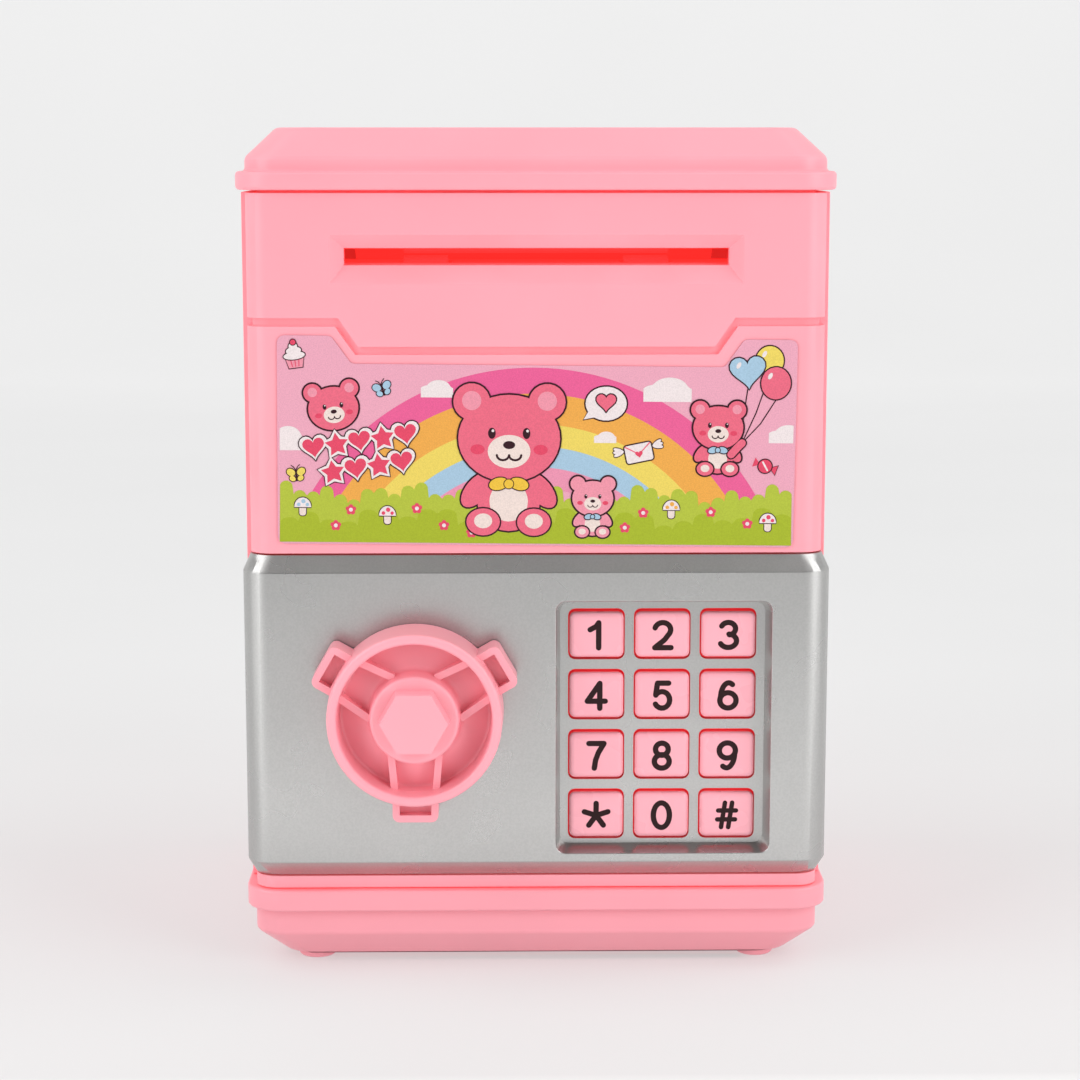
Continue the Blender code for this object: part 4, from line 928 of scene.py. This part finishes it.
def heart_and_star_block(art):
    """Two slanting rows of hearts and stars with pale borders."""
    turn = math.radians(9)
    rows = ((2.6, (-10.4, -5.2, 0.0, 5.2, 10.4)), (-3.4, (-7.0, -1.8, 3.4, 8.6)))
    for row, (height, places) in enumerate(rows):
        for index, across in enumerate(places):
            u, w = placed([(across, height)], -39.2, -2.7, 1.0, turn)[0]
            if (index + row) % 2 == 0:
                border, shape = heart(u, w, 6.3, turn), heart(u, w, 4.9, turn)
            else:
                border, shape = star(u, w, 3.5, turn, waist=0.6), star(u, w, 2.75, turn)
            art.patch("line", 11, grown(border, 0.25))
            art.patch("white", 12, border)
            art.patch("red", 13, shape)


def make_label_print():
    inks = make_inks()
    art = Print(inks)
    rainbow(art)
    for place in ((-22.4, 12.2, 7.2, 3.8), (29.1, 12.6, 10.8, 5.3), (-56.0, 1.0, 8.0, 5.3),
                  (56.0, 2.7, 8.0, 4.0), (15.3, 1.5, 5.0, 2.5)):
        cloud(art, *place)
    grass(art, "grass", 4, LABEL_FOOT + 0.4, -12.6, 3.0)
    grass(art, "meadow", 5, LABEL_FOOT + 0.4, -18.0, 4.4)
    for place in ((-41.6, -15.6), (-45.0, -19.2), (-26.8, -15.2), (-20.7, -19.0), (-14.5, -20.6),
                  (24.1, -15.8), (20.0, -19.2), (39.3, -15.5), (47.6, -18.1)):
        flower(art, *place)
    for u, w, cap in ((-52.4, -14.8, "blue"), (-33.4, -16.6, "red"),
                      (30.4, -14.8, "orange"), (52.2, -17.6, "red")):
        mushroom(art, u, w, cap)
    cupcake(art, -54.2, 19.2, math.radians(8))
    butterfly(art, -34.5, 11.5, "blue", 0.3)
    butterfly(art, -53.8, -7.9, "yellow", 0.1)
    bear_head(art, -45.5, 7.2, 5.6, math.radians(8), 6)
    heart_and_star_block(art)
    seated_bear(art, -6.2, 0.8, 11.4, 6)
    seated_bear(art, 12.7, -12.6, 4.6, 6, "candy", "blue")
    speech_bubble(art, 15.4, 8.8)
    envelope(art, 22.9, -2.2, math.radians(12))
    balloons(art, (46.0, 0.2))
    seated_bear(art, 40.6, 3.6, 5.6, 6, "rose", "blue")
    paw = stroke([(43.6, -2.4), (45.0, -0.8), (46.0, 0.2)], 1.7)
    art.outlined("rose", 12, paw, 0.3)
    sweet(art, 51.3, -5.0, math.radians(-20))
    low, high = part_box("label")
    middle = Vector(((low[0] + high[0]) / 2, low[1], (low[2] + high[2]) / 2))
    place = Matrix.Translation(middle) @ Matrix.Rotation(LABEL_TILT, 4, "Y")
    art.piece("label_print", "casing", place)
    for entry in NODES["label"].material_slots:
        entry.link = "OBJECT"
        entry.material = inks["sky"]


# ---- Key legends ----

LEGEND_STROKE = 1.25
HALF_U, HALF_W = 1.85, 2.90           # half width and half height of a figure, along its strokes

LEGENDS = {
    "1": [[(-1.5, 1.3), (-0.2, 2.0), (0.45, HALF_W)], [(0.45, HALF_W), (0.45, -HALF_W)]],
    "2": [bend(0.0, 1.25, 1.8, HALF_W - 1.25, 165, -30, 14) + [(0.4, -1.1), (-1.8, -HALF_W)],
          [(-1.8, -HALF_W), (1.9, -HALF_W)]],
    "3": [bend(-0.1, 1.45, 1.65, 1.45, 155, -80, 14), bend(-0.1, -1.35, 1.9, 1.55, 85, -155, 14)],
    "4": [[(0.75, HALF_W), (-2.1, -1.25)], [(-2.1, -1.25), (2.0, -1.25)], [(0.75, HALF_W), (0.75, -HALF_W)]],
    "5": [[(1.45, HALF_W), (-1.1, HALF_W)], [(-1.1, HALF_W), (-1.5, 0.2)],
          bend(-0.05, -1.0, 1.75, 1.93, 145, -150, 16)],
    "6": [bend(0.15, -0.6, 1.83, 3.53, 178, 62, 12)],
    "7": [[(-1.7, HALF_W), (1.75, HALF_W)], [(1.75, HALF_W), (0.5, 0.8), (-0.15, -1.0), (-0.45, -HALF_W)]],
    "8": [],
    "9": [bend(-0.15, 0.6, 1.83, 3.53, -2, -118, 12)],
    "0": [],
    "star": [[(0.0, 0.0), (2.85 * math.cos(angle), 2.85 * math.sin(angle))]
             for angle in (math.radians(90 + 72 * arm) for arm in range(5))],
    "hash": [[(-1.25, -HALF_W), (-0.4, HALF_W)], [(0.4, -HALF_W), (1.25, HALF_W)],
             [(-1.95, 1.05), (2.15, 1.05)], [(-2.15, -1.05), (1.95, -1.05)]],
}
LOOPS = {"6": [(0.0, -1.15, HALF_U, 1.78)], "9": [(0.0, 1.15, HALF_U, 1.78)],
         "0": [(0.0, 0.0, HALF_U, HALF_W)], "8": [(0.0, 1.5, 1.45, 1.43), (0.0, -1.35, 1.70, 1.58)]}


def make_legends():
    ink = {"legend": printed("legend", srgb(36, 9, 12), 0.5)}
    half = LEGEND_STROKE / 2
    for name, strokes in LEGENDS.items():
        art = Print(ink)
        line = LEGEND_STROKE * (0.85 if name == "hash" else 1.0)
        for layer, points in enumerate(strokes):
            art.patch("legend", 2.0 + layer * 0.4, stroke(points, line))
        for layer, (u, w, half_u, half_w) in enumerate(LOOPS.get(name, ())):
            outer = ellipse(u, w, half_u + half, half_w + half, count=32)
            inner = ellipse(u, w, half_u - half, half_w - half, count=32)
            art.ring("legend", 3.4 + layer * 0.4, outer, inner)
        node = "key_" + name
        low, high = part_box(node)
        middle = Vector(((low[0] + high[0]) / 2, low[1], (low[2] + high[2]) / 2))
        art.piece(node + "_legend", BODY_OF[node], Matrix.Translation(middle))


# ---- Finishes on the carried-over nodes ----

NOTE_PATH = ("feed_frame", "note_guide_upper", "note_deflector", "feed_tyre_left", "feed_tyre_right",
             "pinch_roller")


def dress_nodes():
    """Give every node that still shows its material, through its object's own slots."""
    for node, obj in NODES.items():
        if obj.hide_render or node == "label":
            continue
        # The nodes along the note's path get the painted red glow that stands in for light through the walls
        # round the slot.
        finish = THROAT_PAINTED_GLOW if node in NOTE_PATH else SLOT_FINISH.get(slot_of(node), PINK)
        for entry in obj.material_slots:
            entry.link = "OBJECT"
            entry.material = finish


# ---- Stage, light and camera ----

CAMERA_PLACE = (-7.98, -605.0, 188.0)
CAMERA_PITCH = math.radians(81.04)
CAMERA_TURN = math.radians(-0.894)
CAMERA_LENS = 83.39


def make_camera():
    data = bpy.data.cameras.new("camera")
    data.lens = CAMERA_LENS
    data.sensor_width = 36.0
    data.clip_start = 0.01
    camera = bpy.data.objects.new("camera", data)
    camera.location = Vector(CAMERA_PLACE) * MM
    camera.rotation_euler = (CAMERA_PITCH, 0.0, CAMERA_TURN)
    bpy.context.scene.collection.objects.link(camera)
    bpy.context.scene.camera = camera


# How strongly the sweep glows at each Y in metres. The bright part acts as a reflector that lies on
# the floor in front of the bank, just out of the picture, and lights the lower half of the door.
FLOOR_GLOW = ((-1.0, 0.34), (-0.55, 0.40), (-0.17, 0.95), (-0.135, 0.85), (-0.122, 0.41), (0.0, 0.42),
              (2.1, 0.65))
SWEEP_BACK, SWEEP_RADIUS, SWEEP_HALF = 2.2, 0.8, 5.0      # in metres
SWEEP_FRONT, SWEEP_TOP, SWEEP_STEPS = -4.0, 4.0, 16


def make_floor():
    """Pale floor that sweeps up into a backdrop far behind."""
    bend_start = SWEEP_BACK - SWEEP_RADIUS
    profile = [(SWEEP_FRONT, 0.0), (bend_start, 0.0)]
    for step in range(1, SWEEP_STEPS + 1):
        angle = math.pi / 2 * step / SWEEP_STEPS
        profile.append((bend_start + SWEEP_RADIUS * math.sin(angle),
                        SWEEP_RADIUS - SWEEP_RADIUS * math.cos(angle)))
    profile.append((SWEEP_BACK, SWEEP_TOP))
    bm = bmesh.new()
    rows = [[bm.verts.new((side * SWEEP_HALF, y, z)) for y, z in profile] for side in (-1, 1)]
    for index in range(len(profile) - 1):
        bm.faces.new((rows[0][index], rows[1][index], rows[1][index + 1], rows[0][index + 1]))
    mesh = bpy.data.meshes.new("floor")
    bm.to_mesh(mesh)
    bm.free()
    look = Finish("paper_sweep", 0.85)
    look.shader.inputs["Emission Color"].default_value = (1.0, 1.0, 1.0, 1.0)
    parts = look.add("ShaderNodeSeparateXYZ")
    look.link(look.place, parts.inputs["Vector"])
    start, span = FLOOR_GLOW[0][0], FLOOR_GLOW[-1][0] - FLOOR_GLOW[0][0]
    along = look.add("ShaderNodeMapRange")
    along.inputs["From Min"].default_value = start
    along.inputs["From Max"].default_value = start + span
    look.link(parts.outputs["Y"], along.inputs["Value"])
    stops = [((y - start) / span, (level, level, level, 1.0)) for y, level in FLOOR_GLOW]
    look.link(look.ramp(along.outputs["Result"], *stops), look.shader.inputs["Emission Strength"])
    paper = look.ramp(look.noise(4), (0.3, (0.37, 0.37, 0.37, 1.0)), (0.7, (0.39, 0.39, 0.39, 1.0)))
    mesh.materials.append(look.finish(paper))
    floor = bpy.data.objects.new("floor", mesh)
    floor.data.shade_smooth()
    bpy.context.scene.collection.objects.link(floor)


def make_world():
    """Even white surroundings, darker overhead and behind the camera."""
    world = bpy.data.worlds.new("studio")
    world.use_nodes = True
    bpy.context.scene.world = world
    nodes, links = world.node_tree.nodes, world.node_tree.links
    background = nodes["Background"]
    direction = nodes.new("ShaderNodeTexCoord")
    parts = nodes.new("ShaderNodeSeparateXYZ")
    ramp = nodes.new("ShaderNodeValToRGB")
    links.new(direction.outputs["Generated"], parts.inputs["Vector"])
    links.new(parts.outputs["Z"], ramp.inputs["Fac"])
    front = nodes.new("ShaderNodeValToRGB")
    product = nodes.new("ShaderNodeMix")
    product.data_type, product.blend_type = "RGBA", "MULTIPLY"
    product.inputs["Factor"].default_value = 1.0
    links.new(ramp.outputs["Color"], product.inputs["A"])
    links.new(front.outputs["Color"], product.inputs["B"])
    links.new(product.outputs["Result"], background.inputs["Color"])
    stops = ramp.color_ramp.elements
    stops[0].position, stops[0].color = 0.15, (0.62, 0.62, 0.62, 1.0)
    stops[1].position, stops[1].color = 0.9, (0.35, 0.35, 0.35, 1.0)
    facing = nodes.new("ShaderNodeMath")
    facing.operation = "MULTIPLY_ADD"
    facing.inputs[1].default_value, facing.inputs[2].default_value = 0.5, 0.5
    links.new(parts.outputs["Y"], facing.inputs[0])
    links.new(facing.outputs["Value"], front.inputs["Fac"])
    dark, light = front.color_ramp.elements
    dark.position, dark.color = 0.1, (0.35, 0.35, 0.35, 1.0)
    light.position, light.color = 0.4, (1.0, 1.0, 1.0, 1.0)
    background.inputs["Strength"].default_value = 1.0


LIGHTS_AIM = (0.0, 0.0, 0.10)
SOFTBOX, OVERHEAD = (0.60, 1.0), (0.45, 0.9)      # width and height in metres
LIGHTS = (
    ("softbox_left", (-0.80, -0.68, 0.48), SOFTBOX, 5.7),
    ("softbox_right", (0.80, -0.68, 0.48), SOFTBOX, 6.2),
    ("overhead_left", (-0.62, -0.05, 1.0), OVERHEAD, 3.0),
    ("overhead_right", (0.62, -0.05, 1.0), OVERHEAD, 3.0),
)


def make_lights():
    """The rectangular soft lights, each aimed at the bank, with their power in watts."""
    for name, place, (width, height), power in LIGHTS:
        data = bpy.data.lights.new(name, "AREA")
        data.shape = "RECTANGLE"
        data.size, data.size_y = width, height
        data.energy = power
        light = bpy.data.objects.new(name, data)
        light.location = place
        aim = Vector(LIGHTS_AIM) - Vector(place)
        light.rotation_euler = aim.to_track_quat("-Z", "Y").to_euler()
        bpy.context.scene.collection.objects.link(light)


# ---- Assembly ----

make_camera()
make_floor()
make_world()
make_lights()
make_shells()
make_knob()
make_keys()
make_label_print()
make_legends()
dress_nodes()
bpy.context.scene.view_settings.view_transform = "Standard"
